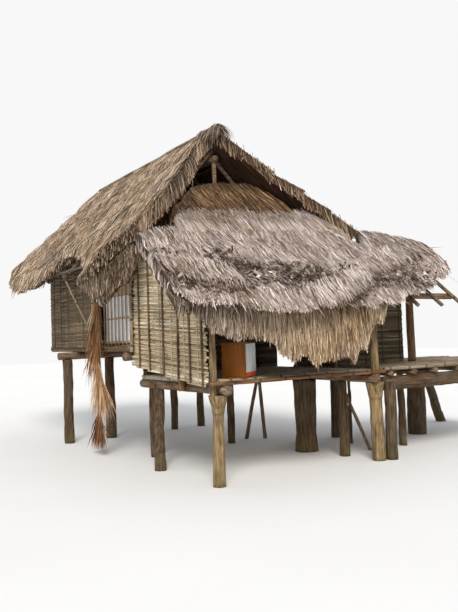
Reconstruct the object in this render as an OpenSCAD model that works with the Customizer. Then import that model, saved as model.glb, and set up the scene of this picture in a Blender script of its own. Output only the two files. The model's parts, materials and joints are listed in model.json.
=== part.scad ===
// Thatched hut on log stilts: raised sleeping room, open veranda under a low
// skirt roof, and a pole deck at the right. Millimetres, Z up, X along the
// front, Y back along the ridge. The origin is the foot of the front left post.

/* [Plan] */
// Distance between the two front corner posts
front_width = 2340; // [2000:10:2700]
// Depth of the open veranda, front posts to room wall
veranda_depth = 2000; // [1800:10:2300]
// Length of the raised room behind the veranda
room_length = 3600; // [3000:10:4200]
// Reach of the main thatch behind the room
rear_overhang = 1280; // [900:10:1500]
// Reach of the skirt roof beyond the front left post
skirt_reach_left = 680; // [500:10:800]
// Reach of the skirt roof beyond the front right post
skirt_reach_right = 1610; // [1300:10:1900]
// Length of the pole deck at the right
deck_length = 3000; // [2400:10:3400]
// Depth of the pole deck
deck_depth = 1880; // [1700:10:2000]

/* [Heights] */
// Top of the veranda floor
veranda_floor_top = 1150; // [1000:10:1300]
// Top of the raised room floor
room_floor_top = 1640; // [1600:10:1800]
// Top of the right deck
deck_top = 1165; // [1080:5:1250]
// Top of the thatch along the ridge
ridge_height = 4580; // [4300:10:4900]
// Height from the top of the skirt thatch up to the ridge
gable_opening = 764; // [680:4:840]

/* [Roof] */
// Pitch of the main roof, degrees
roof_pitch = 45; // [43:0.5:47]
// Pitch of the skirt roof, degrees
skirt_pitch = 39; // [38:0.5:40]
// Slope length of the main roof, ridge to eave
slope_length = 2860; // [2600:10:3000]
// Thickness of the main thatch, square to the slope
thatch_thickness = 140; // [110:5:170]
// Thatch over the peak of the rafters, upright
ridge_cover = 218; // [180:2:250]
// Rise of each thatch course above the one below it
course_step = 38; // [15:1:60]
// Number of thatch courses on a main slope
course_count = 7; // [5:1:9]
// Raggedness of the thatch ends
ragged = 70; // [0:5:100]
// Thickness of the lower, fresher skirt layer
skirt_layer = 90; // [60:5:110]
// Thickness of the upper, weathered skirt layer
skirt_cover = 90; // [60:5:110]
// Longest fall of the fringe under the skirt
fringe_fall = 624; // [400:4:700]
// Longest fall of the loose thatch at the left eave
curtain_fall = 440; // [300:10:520]

/* [Timber] */
// Diameter of a common post
post_d = 130; // [110:2:150]
// Diameter of the slanting props
prop_d = 50; // [40:1:60]
// Diameter of the logs that carry the floors
beam_d = 110; // [90:2:130]
// Diameter of the cross logs under the room
cross_log_d = 120; // [100:2:140]
// Diameter of the veranda floor poles
floor_pole_d = 60; // [40:2:64]
// Diameter of the room floor poles
room_pole_d = 70; // [50:2:74]
// Diameter of the front edge pole
edge_pole_d = 46; // [36:2:76]
// Diameter of the room uprights
upright_d = 80; // [60:2:90]
// Diameter of the wall plates and the ridge pole
plate_d = 90; // [70:2:110]
// Diameter of the plates and the tie of the skirt roof
skirt_plate_d = 80; // [60:2:90]
// Diameter of the main rafters
rafter_d = 60; // [45:1:70]
// Distance between the main rafters
rafter_gap = 780; // [600:10:900]
// Diameter of the skirt rafters
skirt_rafter_d = 50; // [40:1:60]
// Diameter of the purlins under the thatch
purlin_d = 36; // [24:1:44]
// Diameter of the pale poles at the walls and on the ridge
pale_pole_d = 46; // [34:1:56]
// Diameter of the big log at the deck front
deck_log_d = 180; // [140:5:200]
// Diameter of the rear log of the deck
deck_rear_d = 120; // [90:5:140]
// Diameter of the deck joists
deck_joist_d = 70; // [50:2:80]
// Diameter of the deck poles
deck_pole_d = 55; // [40:1:60]

/* [Walls] */
// Thickness of the woven bamboo walls
wall_thickness = 14; // [8:1:20]
// Width of a split bamboo batten
batten_w = 30; // [20:1:40]
// Thickness of a split bamboo batten
batten_t = 12; // [6:1:16]
// Width of the room doorway
door_w = 600; // [500:10:700]
// Height of the room doorway
door_h = 1250; // [1000:10:1300]
// Width of the small cupboard on the veranda
cupboard_w = 280; // [240:10:320]
// Height of the small cupboard
cupboard_h = 400; // [320:10:440]

/* [Hidden] */
seat = 0.3;
$fn = 20;

// Levels that the floors give to what carries them.
veranda_beam_z = veranda_floor_top - floor_pole_d - seat - beam_d / 2;
veranda_post_top = veranda_beam_z - beam_d / 2 - seat;
room_beam_z = room_floor_top - room_pole_d - seat - beam_d / 2;
cross_log_z = room_beam_z - beam_d / 2 - seat - cross_log_d / 2;
room_post_top = cross_log_z - cross_log_d / 2 - seat;
deck_joist_z = deck_top - deck_pole_d - seat - deck_joist_d / 2;
deck_joist_low = deck_joist_z - deck_joist_d / 2 - seat;
deck_log_z = deck_joist_low - deck_log_d / 2;
deck_rear_z = deck_joist_low - deck_rear_d / 2;

// Plan lines.
room_end = veranda_depth + room_length;
ridge_x = front_width / 2;
left_beam_x = 0.64 * beam_d;
right_beam_x = front_width - 0.82 * beam_d;
wall_x = beam_d / 2 + seat;
left_pole_d = 0.6 * post_d;
edge_y = -left_pole_d / 2 - edge_pole_d / 2 - 22;
deck_start = front_width + beam_d;
deck_rear_y = deck_depth - deck_rear_d / 4;
mid_plate_y = 0.375 * veranda_depth;
bay_panel_end = veranda_depth + 0.264 * room_length;
bay_end = veranda_depth + 0.37 * room_length;

// Main roof: n = 0 is the underside of the thatch, s runs down the slope.
cp = cos(roof_pitch);
sp = sin(roof_pitch);
ridge_under = ridge_height - ridge_cover;
purlin_n = -seat - purlin_d / 2;
rafter_n = -2 * seat - purlin_d - rafter_d / 2;
plate_n = -3 * seat - purlin_d - rafter_d - plate_d / 2;
plate_z = ridge_under - ridge_x * sp / cp + plate_n / cp;
ridge_pole_z = ridge_under + plate_n / cp;
purlin_low = ridge_under + 2 * purlin_n / cp;
wall_top = plate_z - 0.4 * plate_d;

// Skirt roof: n = 0 is the underside of the lower layer.
cq = cos(skirt_pitch);
sq = sin(skirt_pitch);
skirt_top_height = ridge_height - gable_opening;
skirt_top_y = 0.86 * veranda_depth;
skirt_total = skirt_layer + seat + skirt_cover;
skirt_under = skirt_top_height - skirt_total / cq;
skirt_rafter_n = -seat - skirt_rafter_d / 2;
skirt_plate_n = -2 * seat - skirt_rafter_d - skirt_plate_d / 2;

function main_pt(side, s, n, y) =
    [ridge_x + side * (s * cp + n * sp), y, ridge_under - s * sp + n * cp];
function skirt_pt(s, n, x) =
    [x, skirt_top_y - s * cq - n * sq, skirt_under - s * sq + n * cq];
function skirt_plate_z(y) =
    skirt_under - (skirt_top_y - y) * sq / cq + skirt_plate_n / cq;
function under_z(x) = ridge_under - abs(x - ridge_x) * sp / cp;
function noise(i, j) =
    let (v = sin(i * 127.1 + j * 311.7) * 4375.85) v - floor(v);
function mix(a, b, t) = a + (b - a) * t;
function bend(t, from) = t < from ? 0 : pow((t - from) / (1 - from), 2);

// Outlines are given across by shares: -1 is the left end of the skirt, 0 and
// 1 are the front posts, 2 is its right end; and back by shares of the veranda.
function across(t) =
    t < 0 ? t * skirt_reach_left
    : t < 1 ? t * front_width
    : front_width + (t - 1) * skirt_reach_right;
function share(x) =
    x < 0 ? x / skirt_reach_left
    : x < front_width ? x / front_width
    : 1 + (x - front_width) / skirt_reach_right;
function outline_y(line, x) = veranda_depth * lookup(share(x), line);

// Straight log between two points, tapering from d1 to d2.
module log(a, b, d1, d2) {
    v = b - a;
    len = norm(v);
    translate(a)
        rotate([0, acos(v[2] / len), atan2(v[1], v[0])])
            cylinder(h = len, d1 = d1, d2 = d2);
}

// Log along X or along Y at one height.
module log_x(x1, x2, y, z, d) {
    translate([x1, y, z])
        rotate([0, 90, 0])
            cylinder(h = x2 - x1, d = d);
}
module log_y(y1, y2, x, z, d) {
    translate([x, y1, z])
        rotate([-90, 0, 0])
            cylinder(h = y2 - y1, d = d);
}
module post(x, y, top, d1, d2) {
    translate([x, y, 0])
        cylinder(h = top, d1 = d1, d2 = d2);
}

// What stands in the ground ends flat at the surface.
module planted() {
    difference() {
        children();
        translate([-front_width, -front_width, -ridge_height / 10])
            cube([4 * front_width, 5 * front_width, ridge_height / 10]);
    }
}

// Prop from the ground up to a log, with a saddle cut to that log.
module prop(foot, head, d1, d2, along, carried_d) {
    v = head - foot;
    planted()
        difference() {
            log(foot - d1 * v / norm(v), head, d1, d2);
            log(head - 4 * d1 * along, head + 4 * d1 * along,
                carried_d + 2 * seat, carried_d + 2 * seat);
        }
}

// Closed slab from a grid of upper points and a grid of lower points.
module slab(top, low) {
    n = len(top);
    m = len(top[0]);
    points = concat([for (r = top) each r], [for (r = low) each r]);
    b = n * m;
    faces = concat(
        [for (i = [0 : n - 2], j = [0 : m - 2])
            each [[i * m + j, i * m + j + 1, (i + 1) * m + j + 1],
                  [i * m + j, (i + 1) * m + j + 1, (i + 1) * m + j]]],
        [for (i = [0 : n - 2], j = [0 : m - 2])
            each [[b + i * m + j, b + (i + 1) * m + j + 1, b + i * m + j + 1],
                  [b + i * m + j, b + (i + 1) * m + j, b + (i + 1) * m + j + 1]]],
        [for (j = [0 : m - 2])
            each [[j, b + j, b + j + 1], [j, b + j + 1, j + 1]]],
        [for (j = [0 : m - 2], k = (n - 1) * m + j)
            each [[k, k + 1, b + k + 1], [k, b + k + 1, b + k]]],
        [for (i = [0 : n - 2], k = i * m)
            each [[k, k + m, b + k + m], [k, b + k + m, b + k]]],
        [for (i = [0 : n - 2], k = i * m + m - 1)
            each [[k + m, k, b + k], [k + m, b + k, b + k + m]]]
    );
    polyhedron(points = points, faces = faces, convexity = 6);
}

// Corner posts: a flared trunk with the beam on its head and the slim pole
// that carries the skirt roof standing beside the beam.
trunk_head = 0.2 * veranda_post_top;
lap = 6;
front_plate_z = skirt_plate_z(0);
front_pole_h = front_plate_z - skirt_plate_d / 2 - seat - veranda_post_top + lap;
module flared_trunk(foot, head, d1, neck_d, head_d) {
    planted()
        log([foot[0], foot[1], -d1 / 3],
            [head[0], head[1], veranda_post_top - trunk_head + lap], d1, neck_d);
    translate([head[0], head[1], veranda_post_top - trunk_head])
        cylinder(h = trunk_head, d1 = neck_d + lap, d2 = head_d);
}
module front_left_post() {
    color([0.45, 0.36, 0.27]) {
        flared_trunk([0, 0], [0.14 * post_d, 0], 1.09 * post_d, 0.94 * post_d, 1.62 * post_d);
        translate([-left_pole_d / 2 - 1, 0, veranda_post_top - lap])
            cylinder(h = front_pole_h, d1 = left_pole_d, d2 = 0.9 * left_pole_d);
    }
}
module front_right_post() {
    color([0.47, 0.37, 0.27]) {
        flared_trunk([front_width, -30], [front_width - 18, -18],
            1.35 * post_d, 1.21 * post_d, 1.75 * post_d);
        translate([right_beam_x + beam_d / 2 + seat + 0.4 * post_d, 0, veranda_post_top - lap])
            cylinder(h = front_pole_h, d1 = 0.8 * post_d, d2 = 0.7 * post_d);
    }
}
module left_middle_post() {
    color([0.45, 0.36, 0.27])
        prop([-0.54 * post_d, 0.645 * veranda_depth, 0],
            [left_beam_x, 0.785 * veranda_depth, veranda_beam_z],
            1.15 * post_d, 0.9 * post_d, [0, 1, 0], beam_d);
}

// Cross logs under the room run a little askew, as the posts stand.
front_cross = [[-0.068, 0.033], [1.068, 0.18]];
rear_cross = [[-0.141, 0.66], [1.094, 0.747]];
function cross_x(t) = t * front_width;
function cross_y(line, t) = veranda_depth + room_length
    * mix(line[0][1], line[1][1], (t - line[0][0]) / (line[1][0] - line[0][0]));
function cross_pt(line, t) = [cross_x(t), cross_y(line, t), cross_log_z];
room_post_list = [
    [-0.077, rear_cross, 1.27, 1.08], [0.244, rear_cross, 1.38, 1.23],
    [0.79, rear_cross, 0.96, 0.85], [1.034, rear_cross, 1.08, 0.92],
    [0.128, front_cross, 0.96, 0.85], [0.735, front_cross, 0.88, 0.77]
];
module room_posts() {
    color([0.42, 0.33, 0.25])
        for (p = room_post_list)
            post(cross_x(p[0]), cross_y(p[1], p[0]), room_post_top,
                p[2] * post_d, p[3] * post_d);
}

module inner_veranda_posts() {
    trunk_x = right_beam_x - post_d;
    trunk_y = 0.58 * veranda_depth;
    color([0.40, 0.31, 0.24]) {
        post(right_beam_x - 10, 0.25 * veranda_depth, veranda_post_top,
            1.08 * post_d, 0.88 * post_d);
        post(trunk_x, trunk_y, veranda_post_top / 4, 2.54 * post_d, 2.08 * post_d);
        translate([trunk_x, trunk_y, veranda_post_top / 4])
            cylinder(h = 0.75 * veranda_post_top, d1 = 2.08 * post_d, d2 = 2.38 * post_d);
    }
}

// Posts of the right deck; the front one is notched for the big log.
function deck_x(t) = deck_start + t * deck_length;
module deck_posts() {
    color([0.43, 0.35, 0.27]) {
        difference() {
            post(deck_start + 0.4 * post_d, -0.5 * deck_log_d, deck_log_z + 20,
                1.2 * post_d, 1.12 * post_d);
            log_x(deck_start, deck_x(1), 0, deck_log_z, deck_log_d + 2 * seat);
        }
        post(deck_x(0.315), 0.31 * deck_depth, deck_joist_low, 0.85 * post_d, 0.7 * post_d);
        post(deck_x(0.647), 0.654 * deck_depth, deck_joist_low, 2.23 * post_d, 2 * post_d);
        post(deck_x(0.182), 0.65 * deck_depth, deck_joist_low, prop_d, prop_d - 4);
        for (t = [0.04, 0.265])
            post(deck_x(t), deck_rear_y, deck_rear_z - deck_rear_d / 2 - seat,
                1.08 * post_d, 0.92 * post_d);
        prop([deck_x(1.115), deck_rear_y + post_d, 0], [deck_x(0.94), deck_rear_y, deck_rear_z],
            1.3 * post_d, post_d, [1, 0, 0], deck_rear_d);
    }
}

module slanting_props() {
    way = cross_pt(front_cross, 1) - cross_pt(front_cross, 0);
    color([0.36, 0.29, 0.23]) {
        prop([deck_start + 0.11 * deck_length, 0.3 * veranda_depth, 0],
            [right_beam_x, 0.3 * veranda_depth, veranda_beam_z],
            prop_d, 0.88 * prop_d, [0, 1, 0], beam_d);
        for (t = [[1.02, -0.02, 0.983], [0.91, 0.035, 1.043]])
            prop([cross_x(t[0]), cross_y(front_cross, t[0]) + t[1] * room_length, 0],
                cross_pt(front_cross, t[2]), 1.2 * prop_d, prop_d,
                way / norm(way), cross_log_d);
    }
}

// Floor of the veranda: two long logs, poles across them, an edge pole.
module veranda_beams() {
    color([0.40, 0.31, 0.24])
        for (x = [left_beam_x, right_beam_x])
            log_y(-1.36 * beam_d, veranda_depth + 30, x, veranda_beam_z, beam_d);
}

floor_pitch = floor_pole_d + 4;
floor_front = edge_y + (edge_pole_d + floor_pole_d) / 2 + seat;
module veranda_floor() {
    color([0.50, 0.44, 0.37])
        for (k = [0 : floor((veranda_depth - floor_front) / floor_pitch)])
            log_x(left_beam_x - 25, right_beam_x + 35, veranda_depth - k * floor_pitch,
                veranda_floor_top - floor_pole_d / 2, floor_pole_d);
}

module front_edge_pole() {
    color([0.66, 0.42, 0.22])
        log_x(-0.064 * front_width, 1.044 * front_width, edge_y,
            veranda_beam_z + (beam_d + edge_pole_d) / 2 + seat, edge_pole_d);
}

module cross_logs() {
    color([0.40, 0.31, 0.24])
        for (line = [front_cross, rear_cross])
            log(cross_pt(line, line[0][0]), cross_pt(line, line[1][0]),
                cross_log_d, cross_log_d);
}

module room_beams() {
    color([0.40, 0.31, 0.24])
        for (x = [0, ridge_x, front_width])
            log_y(veranda_depth + 12, room_end + 0.7 * beam_d, x, room_beam_z, beam_d);
}

upright_y = [veranda_depth + 0.75 * upright_d, bay_end + 0.85 * upright_d,
    room_end - 0.62 * upright_d];
module room_floor() {
    clear = (room_pole_d + upright_d) / 2 + seat;
    start = upright_y[0] + clear + 1;
    count = floor((room_end - 30 - start) / (room_pole_d + 5));
    color([0.47, 0.40, 0.33])
        for (k = [0 : count], y = start + k * (room_pole_d + 5))
            if (min([for (u = upright_y) abs(y - u)]) > clear)
                log_x(-0.4 * beam_d, front_width + 0.4 * beam_d, y,
                    room_floor_top - room_pole_d / 2, room_pole_d);
}

// Right deck: big front log, rear log, joists and poles.
module deck_front_log() {
    color([0.44, 0.35, 0.27])
        log_x(deck_start, deck_x(1), 0, deck_log_z, deck_log_d);
}

module deck_frame() {
    color([0.42, 0.34, 0.26]) {
        log_x(deck_start, deck_x(1), deck_rear_y, deck_rear_z, deck_rear_d);
        for (t = [0.04, 0.182, 0.315, 0.48, 0.647, 0.81, 0.96])
            log_y(-0.47 * deck_log_d, deck_depth + 30, deck_x(t), deck_joist_z, deck_joist_d);
    }
}

deck_pitch = deck_pole_d + 12;
module deck_poles() {
    color([0.50, 0.43, 0.36])
        for (k = [0 : floor((deck_depth + deck_pole_d) / deck_pitch)])
            log_x(deck_start + 2 + 8 * noise(k, 3), deck_x(1) + deck_pole_d * noise(k, 5),
                k * deck_pitch - deck_pole_d, deck_top - deck_pole_d / 2, deck_pole_d);
}

// Flat panel in a plane of constant X, outline in (Y, Z).
module side_panel(x, thickness, outline) {
    translate([x, 0, 0])
        rotate([90, 0, 90])
            linear_extrude(height = thickness)
                polygon(outline);
}

// Flat panel in a plane of constant Y, outline in (X, Z).
module end_panel(y, thickness, outline) {
    translate([0, y + thickness, 0])
        rotate([90, 0, 0])
            linear_extrude(height = thickness)
                polygon(outline);
}

// Left wall of the veranda, cut round the plates, with battens outside.
mid_plate_z = skirt_plate_z(mid_plate_y);
front_wall_x = -left_pole_d - 12 - wall_thickness;
// How far its lower edge lies below the floor in front and above it behind.
wall_dip = 95;
wall_lift = 120;
front_wall_from = 0.03 * veranda_depth;
front_wall_to = 0.99 * veranda_depth;
function wall_low(y) = veranda_floor_top + mix(-wall_dip, wall_lift, y / veranda_depth);
function wall_high(y) =
    min(skirt_plate_z(y) + 0.6 * skirt_plate_d, plate_z - 2.8 * plate_d);
module left_wall_front() {
    ys = [front_wall_from, front_wall_to];
    tops = [for (k = [12 : -1 : 0]) mix(front_wall_from, front_wall_to, k / 12)];
    color([0.72, 0.65, 0.50])
        difference() {
            side_panel(front_wall_x, wall_thickness, concat(
                [for (y = ys) [y, wall_low(y)]], [for (y = tops) [y, wall_high(y)]]));
            for (p = [[0, front_plate_z], [mid_plate_y, mid_plate_z]])
                log_x(-skirt_reach_left, ridge_x, p[0], p[1], skirt_plate_d + 2 * seat);
        }
}

module left_wall_battens() {
    color([0.48, 0.38, 0.24])
        for (t = [0.043, 0.185, 0.325, 0.515, 0.71, 0.86])
            translate([front_wall_x - seat - batten_t, t * veranda_depth,
                    wall_low(t * veranda_depth) + batten_w / 2])
                cube([batten_t, batten_w,
                    wall_high(t * veranda_depth) - wall_low(t * veranda_depth) - 2 * batten_w]);
}

// Slatted bay with a blank sheet behind it and an open gap beside it.
sill_d = 0.82 * beam_d;
sill_x = -beam_d / 2 - seat - sill_d / 2;
bay_start = veranda_depth + 10;
bay_low = room_beam_z + sill_d / 2 + seat;
bay_top = wall_top - 35;
bay_mid = mix(bay_low, bay_top, 0.5);
slat_w = 0.8 * batten_w;
slat_count = 8;
module left_wall_middle() {
    wide = bay_panel_end - bay_start;
    color([0.64, 0.55, 0.38]) {
        for (k = [0 : slat_count - 1])
            translate([sill_x - batten_t, bay_start + k * (wide - slat_w) / (slat_count - 1),
                    bay_low])
                cube([batten_t, slat_w, bay_top - bay_low]);
        for (t = [0.04, 0.52])
            translate([sill_x - 0.5, bay_start, mix(bay_low, bay_mid, t)])
                cube([batten_t, wide, slat_w]);
        translate([sill_x - 0.5, bay_start, bay_mid])
            cube([batten_t, wide, bay_top - bay_mid]);
    }
}

module window_sheet() {
    color([0.88, 0.90, 0.93])
        translate([sill_x + batten_t + seat, bay_start + batten_w, bay_low + slat_w])
            cube([3, bay_panel_end - bay_start - 2 * batten_w, bay_mid - bay_low - batten_w]);
}

module sill_log() {
    color([0.45, 0.37, 0.29])
        log_y(veranda_depth - 18, bay_end + 10, sill_x, room_beam_z, sill_d);
}

room_wall_low = room_beam_z - 20;
rear_wall_start = bay_end + 0.75 * upright_d;
module left_wall_rear() {
    color([0.58, 0.50, 0.36])
        side_panel(-wall_x - wall_thickness, wall_thickness, [
            [rear_wall_start, room_wall_low], [room_end - 12, room_wall_low + 20],
            [room_end - 12, wall_top], [rear_wall_start, wall_top]
        ]);
}

// The purlin just outside the left wall carries the frond: clear gap between
// the sill log and the frond's rib, and the purlin's place down the slope.
frond_gap = 94;
hang_s = (ridge_x - sill_x + sill_d / 2 + frond_gap - purlin_n * sp) / cp;

// Pale poles: at the corner of the front wall, beside the open bay, and the
// one that leans from the wall up to a purlin.
purlin_list = [[0.098, 0.99, 0.99], [0.27, 0.95, 0.95], [0.44, 0.825, 0.825],
    [0.573, 0.64, 0.7], [hang_s / slope_length, 0.67, 0.64], [0.832, 0.8, 0.66]];
module pale_poles() {
    corner_h = plate_z - 2.8 * plate_d - room_beam_z;
    wall_face = -wall_x - wall_thickness - seat;
    stick_y = bay_end + 0.1 * room_length;
    stick_head = main_pt(-1, 0.832 * slope_length,
        2 * purlin_n - 0.31 * pale_pole_d, stick_y - 60);
    color([0.74, 0.66, 0.48]) {
        translate([front_wall_x - seat - pale_pole_d / 2, 0.972 * veranda_depth,
                room_beam_z - beam_d / 2])
            cylinder(h = corner_h, d = pale_pole_d);
        translate([wall_face - pale_pole_d / 2, bay_end + 90, veranda_floor_top])
            cylinder(h = wall_top - veranda_floor_top, d = pale_pole_d);
        log([wall_face - 0.267 * pale_pole_d, stick_y, room_floor_top + 2 * beam_d],
            stick_head, 0.6 * pale_pole_d, 0.6 * pale_pole_d);
    }
}

// Tie, king post and front rafters stand in one line behind the skirt top.
tie_y = skirt_top_y + 1.4 * skirt_plate_d;
tie_z = skirt_plate_z(tie_y);
front_rafter_y = tie_y + skirt_plate_d / 2 + rafter_d / 2 + seat;
module room_front_wall() {
    hi = tie_z - skirt_plate_d / 2;
    inner = plate_d / 2 + 8;
    edge = purlin_low - (ridge_x - inner) * sp / cp;
    run = (hi - edge) * cp / sp;
    color([0.50, 0.42, 0.30])
        difference() {
            end_panel(veranda_depth - wall_thickness / 2, wall_thickness, [
                [inner, veranda_floor_top + seat], [front_width - inner, veranda_floor_top + seat],
                [front_width - inner, edge], [front_width - inner - run, hi],
                [inner + run, hi], [inner, edge]
            ]);
            translate([0.58 * front_width, veranda_depth - wall_thickness, room_floor_top])
                cube([door_w, 2 * wall_thickness, door_h]);
        }
}

module rear_wall() {
    e = 0.36 * beam_d;
    low = room_beam_z + beam_d / 2 + seat;
    edge = purlin_low - (ridge_x + e) * sp / cp;
    color([0.55, 0.47, 0.34])
        difference() {
            end_panel(room_end - wall_thickness / 2, wall_thickness, [
                [-e, low], [front_width + e, low], [front_width + e, edge],
                [ridge_x, purlin_low], [-e, edge]
            ]);
            for (p = [[0, plate_z], [front_width, plate_z], [ridge_x, ridge_pole_z]])
                log_y(room_end - beam_d, room_end + beam_d, p[0], p[1], plate_d + 2 * seat);
        }
}

module right_wall() {
    color([0.55, 0.47, 0.34])
        side_panel(front_width + wall_x, wall_thickness, [
            [veranda_depth + 12, room_wall_low], [room_end - 12, room_wall_low],
            [room_end - 12, wall_top], [veranda_depth + 12, wall_top]
        ]);
}

// Dark woven screens behind the deck, under the right end of the skirt.
tan_post_x = front_width + 0.925 * skirt_reach_right;
screen_x = deck_start + 14;
module deck_screen() {
    low = deck_top + seat;
    high = mid_plate_z - 1.5 * skirt_plate_d;
    screen_row = ceil((mid_plate_y + skirt_plate_d / 2 + 5 + deck_pole_d) / deck_pitch);
    screen_y = screen_row * deck_pitch - deck_pole_d - wall_thickness / 2;
    color([0.42, 0.35, 0.26]) {
        end_panel(screen_y, wall_thickness, [
            [screen_x + 28, low], [tan_post_x - 0.6 * post_d, low],
            [tan_post_x - 0.6 * post_d, high], [screen_x + 28, high]
        ]);
        side_panel(screen_x, wall_thickness, [
            [screen_y, low], [deck_depth - 20, low],
            [deck_depth - 20, high], [screen_y, high]
        ]);
    }
}

module room_uprights() {
    low = room_beam_z + beam_d / 2 + seat;
    color([0.46, 0.37, 0.28])
        for (x = [0, front_width], y = upright_y)
            translate([x, y, low])
                cylinder(h = plate_z - plate_d / 2 - seat - low,
                    d1 = upright_d, d2 = 0.88 * upright_d);
}

// Poles that carry the middle plate of the skirt; the last is the tan post.
module veranda_uprights() {
    top = mid_plate_z - skirt_plate_d / 2 - seat;
    low = veranda_beam_z - 0.36 * beam_d;
    color([0.60, 0.48, 0.32]) {
        for (x = [left_beam_x - beam_d / 2 - seat - upright_d / 2,
                right_beam_x + beam_d / 2 + seat + upright_d / 2])
            translate([x, mid_plate_y, low])
                cylinder(h = top - low, d1 = upright_d, d2 = 0.8 * upright_d);
        translate([tan_post_x, mid_plate_y, deck_top + seat])
            cylinder(h = top - deck_top - seat, d1 = 0.9 * post_d, d2 = 0.77 * post_d);
    }
}

module wall_plates() {
    color([0.44, 0.35, 0.27])
        for (x = [0, front_width])
            log_y(0.71 * veranda_depth, room_end + 0.6 * rear_overhang, x, plate_z, plate_d);
}

ridge_end = room_end + 0.5 * rear_overhang;
module ridge_pole() {
    color([0.44, 0.35, 0.27])
        log_y(tie_y - 0.6 * plate_d, ridge_end, ridge_x, ridge_pole_z, plate_d);
}

module ridge_top_pole() {
    color([0.62, 0.55, 0.42])
        log_y(0.83 * veranda_depth, ridge_end, ridge_x,
            ridge_height + seat + pale_pole_d / 2, pale_pole_d);
}

module gable_frame() {
    half = (ridge_under + rafter_n / cp - tie_z) * cp / sp + rafter_d / 3;
    king_low = tie_z + skirt_plate_d / 2 + seat;
    color([0.40, 0.31, 0.24]) {
        log_x(ridge_x - half, ridge_x + half, tie_y, tie_z, skirt_plate_d);
        translate([ridge_x, tie_y, king_low])
            cylinder(h = ridge_pole_z - plate_d / 2 - seat - king_low, d = rafter_d);
    }
}

module rafters() {
    low_s = 0.86 * slope_length;
    count = floor((room_end - rafter_d - front_rafter_y) / rafter_gap);
    color([0.45, 0.36, 0.27])
        for (k = [0 : count], y = front_rafter_y + k * rafter_gap) {
            log(main_pt(-1, rafter_d / 2, rafter_n, y), main_pt(-1, low_s, rafter_n, y),
                rafter_d, rafter_d);
            log(main_pt(1, rafter_d / 2, rafter_n, y + rafter_d + seat),
                main_pt(1, low_s, rafter_n, y + rafter_d + seat), rafter_d, rafter_d);
        }
}

// Verge lines at shares of the slope length: the front ones as shares of the
// veranda depth, the rear one as shares of the overhang behind the room.
left_front = [[0, 0.935], [0.143, 0.9], [0.286, 0.74], [0.429, 0.63], [0.571, 0.575],
    [0.714, 0.6], [0.857, 0.775], [1, 0.925]];
right_front = [[0, 0.885], [0.143, 0.735], [0.286, 0.6325], [0.429, 0.5175],
    [0.571, 0.4175], [0.714, 0.31], [0.857, 0.6], [1, 0.6]];
rear_line = [[0, 0.625], [0.143, 0.55], [0.286, 0.66], [0.429, 0.8], [0.571, 0.98],
    [0.714, 1], [0.857, 0.69], [1, 0.3]];
function rear_y(f) = room_end + rear_overhang * lookup(f, rear_line);
module purlins() {
    color([0.55, 0.46, 0.33])
        for (p = purlin_list, side = [-1, 1])
            log(main_pt(side, p[0] * slope_length, purlin_n,
                    veranda_depth * (side < 0 ? p[1] : p[2])),
                main_pt(side, p[0] * slope_length, purlin_n,
                    rear_y(p[0]) - 0.12 * rear_overhang), purlin_d, purlin_d);
}

module skirt_plates() {
    color([0.44, 0.35, 0.27]) {
        log_x(across(-0.77), across(1.94), 0, front_plate_z, skirt_plate_d);
        log_x(across(-0.7), across(1.97), mid_plate_y, mid_plate_z, skirt_plate_d);
    }
}

// Upper edge of the skirt: it passes under the main verges and runs on over
// the right eave. It never rises into the main thatch.
skirt_edge = [[-1, 0.28], [-0.949, 0.292], [-0.581, 0.35], [-0.221, 0.37], [0, 0.415],
    [0.128, 0.585], [0.256, 0.77], [0.312, 0.85], [0.684, 0.85], [0.825, 0.7],
    [0.97, 0.49], [1.118, 0.32], [1.161, 0.28], [1.224, 0.33], [1.335, 0.46],
    [1.598, 0.45], [1.791, 0.415], [2, 0.36]];
function roof_line(x, n) =
    skirt_top_y + (under_z(x) - skirt_under - n / cq) * cq / sq;
function verge_y(x) = veranda_depth * lookup(
    min(1, abs(x - ridge_x) / cp / slope_length), x < ridge_x ? left_front : right_front);
function clear_y(x, n) =
    max(roof_line(x, n + purlin_d + 10) + n * sq, verge_y(x) - ragged);
function upper_y(x) = min(outline_y(skirt_edge, x),
    x < across(1.17) ? clear_y(x, skirt_total) : veranda_depth);
eave_y = -0.165 * veranda_depth;
skirt_rafter_list = [-0.63, 0.085, 0.222, 0.385, 0.543, 0.72, 0.889, 1.087, 1.348, 1.627, 1.88];
module skirt_rafters() {
    color([0.47, 0.38, 0.29])
        for (t = skirt_rafter_list) {
            x = across(t);
            on_tie = t > 0.3 && t < 0.7;
            s1 = (skirt_top_y - upper_y(x) + 0.04 * veranda_depth) / cq;
            s0 = (skirt_top_y - eave_y - 0.02 * veranda_depth) / cq;
            log(skirt_pt(on_tie ? -(tie_y - skirt_top_y) / cq - skirt_plate_d : s1,
                    skirt_rafter_n, x),
                skirt_pt(s0, skirt_rafter_n, x), skirt_rafter_d, skirt_rafter_d);
        }
}

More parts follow.
